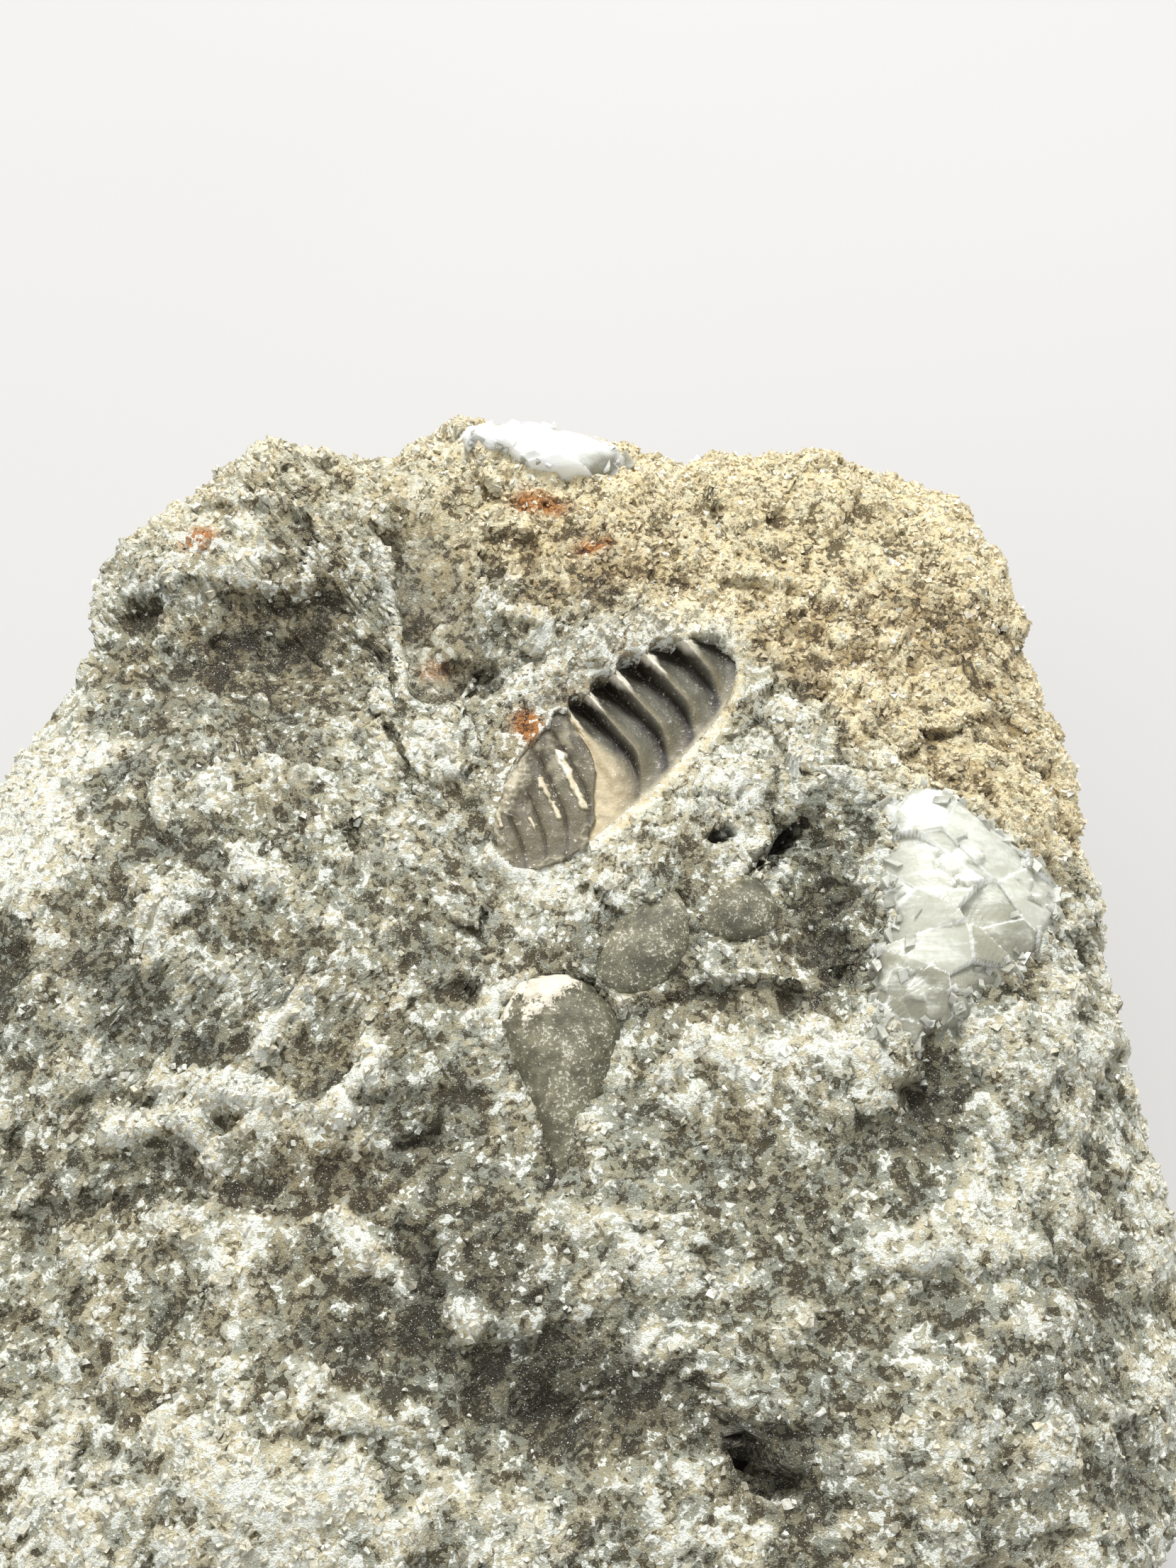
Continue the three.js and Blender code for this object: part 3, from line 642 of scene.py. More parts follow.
print("drawing the rock")
rockBare, rockTriangles = rockPoints()
faceCount = (rock["steps"] + 1) ** 2
rockNormal = normalsOf(rockBare, rockTriangles)
rockU, rockV, rockW = toFace(rockBare)
onFace = np.arange(len(rockBare)) < faceCount
tailP, tailQ = toTail(rockU, rockV)
tailLow, tailTop = tailMargins(tailP)
past = np.maximum(np.maximum(tailQ - tailTop, tailLow - tailQ), np.abs(tailP) - tail["length"] / 2)
trough = ramp(-past, 0, 0.12) * onFace
ledgeStrip = np.exp(-(((tailQ - tailLow + 0.22) / 0.2) ** 2))
ledgeStrip = ledgeStrip * ramp(4.6 - np.abs(tailP - 1.4), 0, 1.2) * onFace
worn = sum(ramp(1.25 - oval(rockU, rockV, *place), 0, 0.7) for place in rock["smoothPlaces"])
worn = np.clip(worn, 0, 1) * onFace

# crumbs of three sizes stand out along the normal, with grooves between them
relief = 0
tones = []
for seed, (wave, level, slantShare) in enumerate(rock["crumbs"]):
    chance, slant, gap = crumbs(rockBare, wave, 5.3 * seed)
    fits = np.where(onFace, 1, ramp(wave, 0.4, 1.3))  # the sides' rows are too far apart for the small ones
    relief = relief + fits * (level * chance + slantShare * wave * slant - 0.35 * level * np.exp(-gap / 0.12))
    tones.append(chance)
relief = relief + layered([(0.45, 0.035), (0.22, 0.03)], *rockBare.T) * onFace
relief = relief * (1 - 0.5 * worn) * (1 - 0.75 * ledgeStrip) * (0.45 + 0.55 * ramp(past, 0, 1.2))
raggedU = rockU + layered([(0.9, 0.5), (0.4, 0.35)], rockU, rockV, 0 * rockU + 4.5)
raggedV = rockV + layered([(0.9, 0.5), (0.4, 0.35)], rockU, rockV, 0 * rockU + 9.5)
for at, size, turn, deep in rock["pits"]:
    near = oval(raggedU, raggedV, at, size, turn) if size[1] > 0.3 else oval(rockU, rockV, at, size, turn)
    relief = relief - deep * ramp(1.2 - near, 0, 1) * onFace
crustLine = 0
for start, end, half, high in rock["ridges"]:
    run = np.subtract(end, start)
    loose = 0 if half < 0.2 else 0.6
    u, v = rockU + loose * (raggedU - rockU) - start[0], rockV + loose * (raggedV - rockV) - start[1]
    share = np.clip((u * run[0] + v * run[1]) / (run @ run), 0, 1)
    line = np.exp(-((np.hypot(u - share * run[0], v - share * run[1]) / half) ** 2)) * onFace
    relief = relief + high * line
    crustLine = np.maximum(crustLine, line)
disc = np.sqrt(oval(rockU, rockV, (-8.8, 0), (0.46, 0.46)))
relief = relief + 0.14 * ramp(1.1 - disc, 0, 0.15) * ramp(disc, 0.15, 0.35) * onFace
knobs = np.maximum(ramp(rockU, 12.8, 15), ramp(rockV, 11.2, 13))
relief = relief + knobs * (0.1 + layered([(1.6, 0.3), (0.8, 0.22)], *(rockBare + 15).T))
standing = ramp(rockBare[:, 2], 0.1, 1.2)
rockPlace = rockBare + rockNormal * (relief * standing)[:, None]
cover = np.minimum(beakTop(rockU, rockV), domeTop(rockU, rockV))
under = np.minimum(0, cover - toFace(rockPlace)[2]) * onFace
rockPlace = rockPlace + outOfFace * under[:, None]
hollow = toFace(rockPlace)[2] - (tailHeight(tailP, np.clip(tailQ, tailLow, tailTop)) - 0.3)
rockPlace = rockPlace - outOfFace * (hollow * trough)[:, None]
rockNormal = normalsOf(rockPlace, rockTriangles)

# how far each point stands out of what is round it, on two scales
soft = blurred(rockPlace, rockTriangles, 5)
softer = blurred(soft, rockTriangles, 45)
proud = ((rockPlace - soft) * rockNormal).sum(axis=1) / 0.02
prouder = ((soft - softer) * rockNormal).sum(axis=1) / 0.09
zone = layered([(6, 0.5), (2.6, 0.55), (1.1, 0.45)], *(rockBare + 40).T)
warm = 0.5 + 0.5 * layered([(4.5, 0.7), (1.3, 0.6)], *(rockBare - 70).T)


def places(spots):  # the sum of soft ovals on the face
    return sum(much * np.exp(-oval(rockU, rockV, at, size, turn)) for at, size, turn, much in spots)


edgeHeight = np.interp(rockU, *np.transpose(rock["brownEdge"]))
edgeHeight = edgeHeight + 0.9 * smoothNoise(rockU / 1.6, rockV / 1.6, 0 * rockU)
brown = ramp(rockV - edgeHeight, -1, 1.8) * ramp(rockW, -9, -4) * (0.45 + 0.55 * ramp(rockU, -7, -1))
# pale: chalky crust and pale patches, with painted light where points stand out of what is round them and
# painted shade where they sink or lie in the shaded places
pale = 0.42 + 0.07 * np.clip(proud, -2, 2.5) + 0.12 * np.clip(prouder, -2, 2) + 0.3 * zone
pale = pale + 0.12 * tones[1] + places(rock["palePlaces"]) - 0.3 * places(rock["shadePlaces"])
pale = pale + 0.4 * ledgeStrip + 0.65 * crustLine
pale = np.clip(pale, 0, 1.15)
# painted shade: darker where the surface sinks below what is round it, and in the shaded places
hollowShade = 0.1 - 0.08 * np.clip(proud, -2, 0) - 0.2 * np.clip(prouder, -2, 0.5)
hollowShade = np.clip(hollowShade + places(rock["shadePlaces"]), 0, 1)
rust = np.clip(sum(np.exp(-oval(rockU, rockV, *place)) for place in rock["rustPlaces"]), 0, 1)

warm = warm + 0.5 * np.exp(-oval(rockU, rockV, (-11, 7), (5, 4)))
creamy = ramp(pale + 0.4 * ramp(rockV, 7, 10), 0.2, 0.8)
halo = np.exp(-(np.maximum(tailQ - tailTop, 0) / 0.9) ** 2) * ramp(tailQ, 0, 1)
halo = halo * ramp(5 - np.abs(tailP), 0, 1.5) * onFace
fringe = np.exp(-((past - 1.3) / 1.2) ** 2) * onFace * (1 - brown)
# painted shade: the two slit pits are painted nearly black
slit = np.minimum(*(oval(rockU, rockV, *pit[:3]) for pit in rock["pits"][2:4]))
slit = ramp(1.3 - slit, 0, 0.6) * onFace
# painted shade on the trough's wall, towards the tail's top and front
shade = ramp(tailQ, -0.3, 0.6) * ramp(tailP, -2, -0.5)
onWall = 0.95 * ramp(-past, -0.03, 0.1) * ramp(tailP, -3, -1.6) * onFace
ochre = painted(paint(172, 151, 110), [(paint(240, 228, 193), creamy)])
wall = painted(paint(176, 164, 136), [(paint(46, 38, 28), shade)])
rockTint = painted(paint(151, 152, 138), [
    (paint(148, 140, 115), 0.8 * ramp(warm, 0.4, 0.9)),  # fawn and grey patches
    (paint(126, 128, 118), 0.75 * ramp(-zone, 0.1, 0.8)),
    (paint(216, 213, 196), ramp(pale, 0.45, 1)),  # chalk, with painted light where points stand out and painted shade in hollows
    (ochre, 0.8 * brown),  # the stained upper right
    (paint(76, 71, 52), 0.65 * ramp(hollowShade, 0.3, 1)),  # painted shade in hollows, pits and under ledges
    (paint(140, 121, 88), 0.6 * halo),  # round the tail
    (paint(214, 212, 197), 0.4 * fringe),
    # painted shade in the two slit pits
    (paint(30, 25, 18), 0.9 * slit),
    (paint(176, 112, 40), 0.95 * ramp(rust, 0.1, 0.8)),
    (paint(142, 135, 115), 0.6 * worn),
    (paint(206, 194, 164), 0.6 * ledgeStrip),
    (wall, onWall),  # the trough's wall: cream, with painted shade towards the tail's top and front
])


limestoneLook = dict(
    cool=(0.98, 1.0, 0.97), warm=(1.02, 0.95, 0.78), murk=(0.2, 0.17, 0.11),  # these multiply the tint
    chalk=paint(240, 243, 233), goldChalk=paint(240, 228, 188), spark=paint(250, 250, 246),
    cloudSize=0.9, fineSize=0.12, gritSize=0.05, hueSize=0.4, chipSize=0.42, crumbSize=0.18,
    warmFrom=(0.55, 0.82), murkTo=(0.98, 1.26), chalkFrom=(1.42, 1.5), sparkFrom=(0.64, 0.69),
    bump=0.17,
)


def limestoneFinish():
    # the tint in chips and crumbs, murky where their light is low and chalky where it is high,
    # with small white specks painted in as glints
    look = limestoneLook
    f = Finish("limestone")
    tint = f.field("tint", "Color")
    paleness, rough, gold = (f.field(name) for name in ("pale", "rough", "gold"))
    cloud = f.noise(look["cloudSize"], 6, 0.65)
    fine = f.noise(look["fineSize"], 3, 0.65)
    grit = f.noise(look["gritSize"], 2, 0.6)
    hue = f.noise(look["hueSize"], 3, 0.6)
    chip, chipHue = f.chances(look["chipSize"])
    crumb, crumbHue = f.chances(look["crumbSize"])
    light = cloud * 0.7 + chip * 0.36 + crumb * 0.42 + fine * 0.6 + paleness * 0.42 - gold * 0.02
    warmth = f.between(chipHue * 0.5 + crumbHue * 0.3 + hue * 0.6, *look["warmFrom"])
    stone = f.mix(1.0, tint, f.mix(warmth, look["cool"], look["warm"]), "MULTIPLY")
    murk = f.mix(1.0, stone, look["murk"], "MULTIPLY")
    colour = f.mix(f.between(light, *look["murkTo"]), murk, stone)
    chalk = f.mix(gold, look["chalk"], look["goldChalk"])
    speck = f.between(light, *look["chalkFrom"]) * rough
    spark = f.between(grit, *look["sparkFrom"]) * rough
    colour = f.mix(speck * 0.85, colour, chalk)
    # painted glints: tiny white specks, with lower roughness
    colour = f.mix(spark * 0.8, colour, look["spark"])
    height = (cloud + fine * 0.9 + grit * 0.4) * (rough * 0.85 + 0.15)
    normal = f.bump(height, look["bump"], 0.9)
    return f.surface(Base_Color=colour, Roughness=0.55 - 0.3 * spark, Normal=normal)


limestone = limestoneFinish()
rockRough = np.clip(1 - 0.5 * worn - 0.6 * ledgeStrip - 0.9 * slit, 0, 1)
makePiece(
    "rock", rockPlace, rockTriangles, limestone, ["limestone_matrix"],
    tint=rockTint, fields={"pale": pale, "rough": rockRough, "gold": brown},
)


# loose-looking grains that stand on the rock: small blocks with eight jittered corners

cube = np.array([(x, y, z) for z in (-1, 1) for y in (-1, 1) for x in (-1, 1)], float)
cubeTriangles = np.array([
    (0, 2, 3), (0, 3, 1), (4, 5, 7), (4, 7, 6), (0, 1, 5), (0, 5, 4),
    (2, 6, 7), (2, 7, 3), (0, 4, 6), (0, 6, 2), (1, 3, 7), (1, 7, 5),
])


def turnsOf(count):  # even random turns, from four normal numbers each
    w, x, y, z = rng.normal(size=(4, count))
    length = np.sqrt(w * w + x * x + y * y + z * z)
    w, x, y, z = w / length, x / length, y / length, z / length
    return np.stack([
        np.stack([1 - 2 * (y * y + z * z), 2 * (x * y - z * w), 2 * (x * z + y * w)], axis=1),
        np.stack([2 * (x * y + z * w), 1 - 2 * (x * x + z * z), 2 * (y * z - x * w)], axis=1),
        np.stack([2 * (x * z - y * w), 2 * (y * z + x * w), 1 - 2 * (x * x + y * y)], axis=1),
    ], axis=1)


def scattered(likely, count):  # points on the rock's triangles, likelier where the number is high
    a, b, c = (rockPlace[rockTriangles[:, k]] for k in range(3))
    area = np.linalg.norm(np.cross(b - a, c - a), axis=1)
    weight = area * likely[rockTriangles].mean(axis=1)
    chosen = np.searchsorted(np.cumsum(weight), rng.random(count) * weight.sum())
    s, t = rng.random((2, count))
    flip = s + t > 1
    s, t = np.where(flip, 1 - s, s)[:, None], np.where(flip, 1 - t, t)[:, None]
    corner = rockTriangles[chosen]
    return a[chosen] * (1 - s - t) + b[chosen] * s + c[chosen] * t, corner[:, 0]


def grainPiece(name, settings, likely):
    count = settings["count"]
    middle, at = scattered(likely, count)
    size = np.exp(rng.normal(math.log(settings["size"]), settings["spread"], count))
    size = np.clip(size, settings["size"] * 0.5, settings["size"] * 1.8)
    shape = cube * (1, 0.8, 0.6) + 0.5 * rng.uniform(-1, 1, (count, 8, 3))
    shape = np.einsum("nij,nkj->nki", turnsOf(count), shape) * (size / 2)[:, None, None]
    points = (middle + rockNormal[at] * (size * settings["proud"])[:, None])[:, None] + shape
    triangles = cubeTriangles + 8 * np.arange(count)[:, None, None]
    lift = rng.normal(0, settings["vary"], count)
    own = rockTint[at]
    tint = tinted(own, settings["colour"], np.clip(settings["share"] + lift, 0, 1))
    tint = np.repeat(tint, 8, axis=0)
    return makePiece(
        name, points.reshape(-1, 3), triangles.reshape(-1, 3), settings["finish"], [],
        smooth=False, tint=tint,
    )


def grainFinish(name, roughness):
    f = Finish(name)
    mottle = f.noise(0.12, 2, 0.6)
    tint = f.field("tint", "Color")
    dull = f.mix(1.0, tint, (0.62, 0.6, 0.57), "MULTIPLY")
    colour = f.mix(f.between(mottle, 0.3, 0.7), dull, tint)
    return f.surface(Base_Color=colour, Roughness=roughness, Normal=f.bump(mottle, 0.02, 0.5))


clear = (1 - trough) * (1 - worn) * (1 - ledgeStrip) * ramp(rockPlace[:, 2], 0.3, 0.8)
clear = clear * ramp(past, 0.05, 0.3)
sparGrains = dict(
    count=11000, size=0.13, spread=0.35, proud=-0.02, vary=0.2, share=0.65,
    colour=paint(244, 246, 236), finish=grainFinish("spar", 0.35),
)
creamGrains = dict(
    count=8000, size=0.15, spread=0.35, proud=-0.06, vary=0.2, share=0.4,
    colour=paint(232, 227, 203), finish=grainFinish("cream", 0.5),
)
goldGrains = dict(
    count=8000, size=0.13, spread=0.35, proud=-0.05, vary=0.25, share=0.25,
    colour=paint(236, 220, 184), finish=grainFinish("honey", 0.35),
)
grainPiece("grainsSpar", sparGrains, clear * (0.03 + ramp(pale, 0.35, 1) ** 1.5))
grainPiece("grainsCream", creamGrains, clear * (0.02 + ramp(pale, 0.45, 1) ** 1.5) * (1 - brown))
grainPiece("grainsHoney", goldGrains, clear * brown * (0.2 + pale))


# the trilobite's tail

def tailPoints():
    along, acrossSteps = tail["steps"]
    s = np.linspace(-0.5, 0.5, along + 1)
    t = np.linspace(0, 1, acrossSteps + 1)
    p = np.tile(s * tail["length"], (acrossSteps + 1, 1)).ravel()
    low, top = tailMargins(p)
    q = low + (top - low) * np.repeat(t, along + 1)
    triangles, border = slab(along, acrossSteps, 1)
    w = tailHeight(p, q)
    u, v = fromTail(p, q)
    skirt = fromFace(u[border], v[border], np.full(len(border), tail["bottom"]))
    points = np.concatenate([fromFace(u, v, w), skirt, skirt.mean(axis=0, keepdims=True)])
    full = np.concatenate([np.arange(len(p)), border, border[:1]])
    return points, triangles, p[full], q[full]


print("drawing the tail")
tailPlace, tailTriangles, along, acrossTail = tailPoints()
count = ribCount(along, acrossTail)
rise = ribRise(count)
wave = np.abs(np.sin(math.pi * count))
shellShare = isShell(along, acrossTail)
low, top = tailMargins(along)
patch = tailPatch(along, acrossTail)
mottle = layered([(0.7, 0.6), (0.25, 0.5), (0.12, 0.3)], along, acrossTail, 0 * along)
bars = [  # cream fillings in the shell's furrows: from, to, half width
    ((-1.41, 1.14), (-2.18, -0.73), 0.15), ((-2.52, 0.86), (-3, -0.47), 0.14),
    ((-3.68, 0.12), (-3.86, -0.3), 0.07), ((-4.3, 0.96), (-4.5, 0.55), 0.08),
]
fill = 0
for start, end, half in bars:
    run = np.subtract(end, start)
    share = np.clip(((along - start[0]) * run[0] + (acrossTail - start[1]) * run[1]) / (run @ run), 0, 1)
    gap = np.hypot(along - start[0] - share * run[0], acrossTail - start[1] - share * run[1])
    ragged = 0.5 * mottle + 0.7 * smoothNoise(along * 7, acrossTail * 7, 0 * along + 2.5)
    fill = np.maximum(fill, ramp(1.1 + ragged - gap / half, 0, 0.7))
part = np.mod(count, 1)
ridge = np.where(part > 0.5, ramp(part, 0.72, 0.97), ramp(0.1 - part, 0, 0.1)) * (1 - patch)
# painted shade in the grooves and steep walls of the mould's channels
grooveShade = np.where(part < 0.22, ramp(part, 0.03, 0.2), ramp(0.62 - part, 0, 0.4)) * (1 - patch)
crusted = ramp(rise - 0.1 + 0.5 * (acrossTail - top) + 0.25 * mottle, 0.25, 0.6)
crusted = crusted * ramp(acrossTail, 0.1, 1.2) * (1 - shellShare)
strip = ramp(along, -2.9, -1.6) * ramp(4.3 - along, 0, 0.8) * ramp(0.22 - (acrossTail - low), 0, 0.2)
creamEdge = ramp(0.3 - (top - acrossTail) + 0.3 * mottle, 0, 0.25)
creamEdge = creamEdge * ramp(-along, 2.2, 3) * ramp(5 + along, 0, 0.4)
rind = np.minimum(np.minimum(acrossTail - low, top - acrossTail), along + tail["length"] / 2)
dust = ramp(0.5 - rind + 0.55 * mottle, 0, 0.6) * shellShare * ramp(-along, 1.6, 3)
tailTint = painted(paint(106, 105, 92), [
    (paint(36, 29, 16), 0.85 * ramp(acrossTail - top, -1.7, -0.3)),  # the mould: painted shadow of the overhang, darker to its top
    (paint(132, 123, 98), 0.5 * ramp(-acrossTail, 0, 1.4)),
    (paint(138, 130, 106), 0.8 * ridge),
    # painted shade in the channels' grooves
    (paint(32, 20, 6), 0.97 * grooveShade),
    (paint(232, 226, 208), crusted),
    (paint(204, 188, 152), 0.95 * patch),
    (paint(112, 105, 82), shellShare),  # the shell: painted shade in its furrows, and darker towards the top
    (paint(54, 46, 28), 0.7 * shellShare * ramp(0.6 - wave, 0, 0.6)),
    (paint(56, 48, 32), 0.6 * shellShare * ramp(acrossTail + 0.5 * mottle, -0.2, 1)),
    (paint(162, 154, 128), 0.75 * shellShare * ramp(mottle, 0.1, 0.9)),
    (paint(216, 204, 174), fill),  # cream fillings
    (paint(242, 238, 226), fill * ramp(mottle, 0, 0.7)),
    (paint(204, 194, 166), 0.7 * strip),  # margins
    (paint(210, 196, 162), 0.8 * creamEdge),
    (paint(190, 183, 160), 0.75 * dust),
])
tailTint = tinted(tailTint, tailTint * 0.78, ramp(-mottle, 0.1, 1))


fossilLook = dict(
    dull=(0.8, 0.79, 0.77), speck=paint(236, 232, 222), cloudSize=0.35, fineSize=0.1, speckFrom=(0.63, 0.72),
    bump=0.08,
)


def fossilFinish():
    # worn shell: its own tint, clouded, with fine pale specks
    look = fossilLook
    f = Finish("fossil")
    tint = f.field("tint", "Color")
    cloud = f.noise(look["cloudSize"], 3, 0.6)
    fine = f.noise(look["fineSize"], 3, 0.7)
    colour = f.mix(f.between(cloud, 0.35, 0.7), f.mix(1.0, tint, look["dull"], "MULTIPLY"), tint)
    speck = f.between(fine * 0.8 + cloud * 0.3, *look["speckFrom"])
    colour = f.mix(speck * (0.4 + 0.5 * f.field("crust")), colour, look["speck"])
    normal = f.bump(cloud * 0.4 + fine * 0.6, look["bump"], 0.7)
    return f.surface(Base_Color=colour, Roughness=0.5 - 0.2 * speck, Normal=normal)


tailCrust = np.clip(crusted + fill + 0.3 * shellShare + dust, 0, 1)
tailLift = 0.1 * crusted * (1 + 0.8 * mottle) + 0.09 * fill + 0.1 * dust * (1 + mottle)
tailLift[(tail["steps"][0] + 1) * (tail["steps"][1] + 1):] = 0
tailPlace = tailPlace + outOfFace * tailLift[:, None]
makePiece(
    "tail", tailPlace, tailTriangles, fossilFinish(), ["trilobite_tail"],
    tint=tailTint, fields={"crust": tailCrust},
)


# calcite: broken masses whose upper sides are flat cleavage faces, with small blocks at their edges

calcite = dict(
    steps=150, skirt=-1.6, cleavage=math.radians(24), shear=0.3,
    faces=(1.9, 0.03, 0.2), chips=(0.6, 0.03, 0.26),  # wave, level, slant
    shardSize=0.26, shardSpread=0.35,
    stepWide=0.13, stepHigh=0.02,
)
pocket = dict(
    centre=np.array([11.5, -3.6]), rise=0.4, seed=5.4, bright=(196, 197, 182), shards=220,
    clouds=[  # at, size, turn, how much
        ((12, -2.8), (1.4, 1.6), 0, 0.55), ((10.2, -4.6), (1.4, 1.1), 30, 0.35),
        ((9.6, -2.6), (1.4, 0.8), 0, 0.2),
    ],
    outline=np.array([
        (15.3, -3.8), (14.3, -1.7), (12, -0.3), (10.3, 0.3), (8.7, 0.1), (8.6, -2.9), (8.7, -4.3), (8.5, -6),
        (7.6, -7.8), (7.9, -9.3), (9.4, -9.4), (10.4, -8.2), (11.4, -7.2), (12.9, -6.6), (14.4, -5),
    ]),
)
crest = dict(
    centre=np.array([-1.7, 12.7]), rise=0.6, seed=8.7, bright=(246, 248, 245), shards=60,
    clouds=[((-1.7, 12.7), (3, 1.2), 0, 0.8)],
    outline=np.array([
        (1.7, 12.9), (0, 14), (-2.2, 14.1), (-4.9, 13.3), (-4.6, 12.1), (-2.4, 11.3), (0.4, 11.6),
    ]),
)


def outlinePoint(outline, turn):  # straight runs between the outline's points
    at = np.mod(turn, 1) * len(outline)
    k = np.floor(at).astype(int)
    t = (at - k)[..., None]
    return outline[k % len(outline)] * (1 - t) + outline[(k + 1) % len(outline)] * t


def calciteMass(mass):
    # a square drawn in rings out to the outline; its height is the calm rock's plus large
    # slanted faces, smaller chips in places, and fine terraces across one cleavage
    line = np.linspace(-1, 1, calcite["steps"] + 1)
    b, a = (c.ravel() for c in np.meshgrid(line, line, indexing="ij"))
    out, turn = ringOf(a, b)
    u, v = (mass["centre"] + (outlinePoint(mass["outline"], turn) - mass["centre"]) * out[:, None]).T
    u = u + 0.7 * out**3 * smoothNoise(u / 0.9, v / 0.9, 5.5 + 0 * u)
    v = v + 0.7 * out**3 * smoothNoise(u / 0.9, v / 0.9, 1.5 + 0 * u)
    c, s = math.cos(calcite["cleavage"]), math.sin(calcite["cleavage"])
    x, y = u * c + v * s + mass["seed"], v * c - u * s
    x = x + calcite["shear"] * y
    cut = np.stack([x, y, mass["seed"] + 0 * x], axis=1)
    wave, level, tilt = calcite["faces"]
    chosen, slant, gap = crumbs(cut, wave, mass["seed"])
    w = level * chosen + tilt * wave * slant
    edge = np.exp(-gap * wave / 0.06)
    broken = ramp(smoothNoise(u / 1.4, v / 1.4, mass["seed"] + 0 * u), -0.1, 0.1)
    wave, level, tilt = calcite["chips"]
    part, slant, gap = crumbs(cut, wave, mass["seed"] + 3)
    w = w + broken * (level * part + tilt * wave * slant)
    edge = np.clip(edge + 0.7 * broken * np.exp(-gap * wave / 0.05), 0, 1)
    terrace = np.mod((x + 0.4 * y) / calcite["stepWide"], 1) * calcite["stepHigh"] * ramp(-chosen, -0.3, 0.2)
    lift = mass["rise"] * (1 - out**4) - 0.5 * ramp(out, 0.8, 1)
    w = w + calmHeight(u, v) + layered(rock["faceNoise"][:1], u, v, 0 * u) + lift - terrace
    triangles, border = slab(calcite["steps"], calcite["steps"], 1)
    skirt = fromFace(u[border], v[border], calmHeight(u[border], v[border]) + calcite["skirt"])
    points = np.concatenate([fromFace(u, v, w), skirt, skirt.mean(axis=0, keepdims=True)])
    milk = 0.4 + 0.35 * chosen + 0.3 * broken * part - 0.3 * ramp(out, 0.6, 1)
    milk = milk + sum(much * np.exp(-oval(u, v, at, size, turn)) for at, size, turn, much in mass["clouds"])
    full = np.concatenate([np.arange(len(u)), border, border[:1]])
    return points, triangles, np.clip(milk, 0, 1)[full], edge[full], out


def shardsOn(mass, points, out):
    # small cleavage blocks, sheared cubes turned nearly one way and sunk in the mass's upper side
    count = mass["shards"]
    likely = 0.02 + ramp(out, 0.6, 0.95)
    at = rng.choice(len(out), count, p=likely / likely.sum())
    size = np.exp(rng.normal(math.log(calcite["shardSize"]), calcite["shardSpread"], (3, count, 1))) / 2
    longer = np.array([1.2, 0.9, 0.8])[:, None, None]
    x, y, z = (cube.T[:, None] + 0.1 * rng.normal(size=(3, count, 8))) * size * longer
    x = x + calcite["shear"] * y
    a = calcite["cleavage"] + rng.normal(0, 0.5, (count, 1))
    u, v = x * np.cos(a) - y * np.sin(a), x * np.sin(a) + y * np.cos(a)
    tiltU, tiltV = rng.normal(0, 0.45, (2, count, 1))
    sunk = rng.uniform(0.3, 0.9, (count, 1)) * size[2]
    blocks = points[at][:, None] + fromFace(u, v, z + tiltU * u + tiltV * v - sunk) - rock["origin"]
    triangles = cubeTriangles + 8 * np.arange(count)[:, None, None]
    return blocks.reshape(-1, 3), triangles.reshape(-1, 3), np.repeat(rng.uniform(0.1, 0.9, count), 8)


calciteLook = dict(
    clear=paint(150, 149, 132), white=paint(230, 232, 222), edge=paint(240, 243, 238),
    cloudSize=1.1, frostSize=0.25, fibreSize=0.5, fibreStretch=(0.14, 1, 1), bump=0.05,
    glow=0.5, glowReach=0.8, glowColour=(1.0, 0.95, 0.85),
)


def calciteFinish(name, bright):
    # milky white, greyer where it is clear, clouded inside, with white fibres and edges
    look = calciteLook
    f = Finish(name)
    milk = f.field("milk")
    cloud = f.noise(look["cloudSize"], 3, 0.55)
    frost = f.noise(look["frostSize"], 3, 0.65)
    fibre = f.noise(look["fibreSize"], 4, 0.7, look["fibreStretch"])
    share = f.between(milk * 0.8 + cloud * 0.4 + fibre * 0.3, 0.35, 1.0)
    colour = f.mix(share, look["clear"], paint(*bright))
    white = f.between(frost * 0.25 + fibre * 0.8 + milk * 0.1, 0.54, 0.78) * 0.75
    colour = f.mix(white, colour, look["white"])
    line = f.between(f.field("edge") + (frost - 0.5) * 0.8, 0.3, 0.9)
    colour = f.mix(line * 0.8, colour, look["edge"])
    normal = f.bump(frost * 0.5 + fibre * 0.9, look["bump"], 0.5)
    return f.surface(
        Base_Color=colour, Roughness=0.16 + 0.3 * frost, Normal=normal,
        Subsurface_Weight=look["glow"], Subsurface_Radius=look["glowColour"],
        Subsurface_Scale=look["glowReach"] * mm,
    )


print("drawing the calcite")
for name, node, mass in (("calcite", "calcite_crystals", pocket), ("crest", "calcite_crest", crest)):
    massPoints, massTriangles, milk, edge, out = calciteMass(mass)
    finish = calciteFinish(name + "Milky", mass["bright"])
    fields = {"milk": milk, "edge": edge}
    makePiece(name, massPoints, massTriangles, finish, [node], fields=fields)
    shardPoints, shardTriangles, milk = shardsOn(mass, massPoints, out)
    fields = {"milk": milk, "edge": 0 * milk}
    makePiece(
        name + "Shards", shardPoints, shardTriangles, finish, [], smooth=False, fields=fields,
    )


# shell fragments: a beak and two domes

shellSteps = (160, 110)


def roundTriangles(around, rows):  # rows of closed rings between two poles
    grid = 1 + np.arange(rows * around).reshape(rows, around)
    ahead = np.roll(grid, -1, axis=1)
    wall = quads(grid[:-1], ahead[:-1], ahead[1:], grid[1:])
    low = np.stack([np.zeros(around, int), ahead[0], grid[0]], axis=1)
    high = np.stack([np.full(around, rows * around + 1), grid[-1], ahead[-1]], axis=1)
    return np.concatenate([low, wall, high])


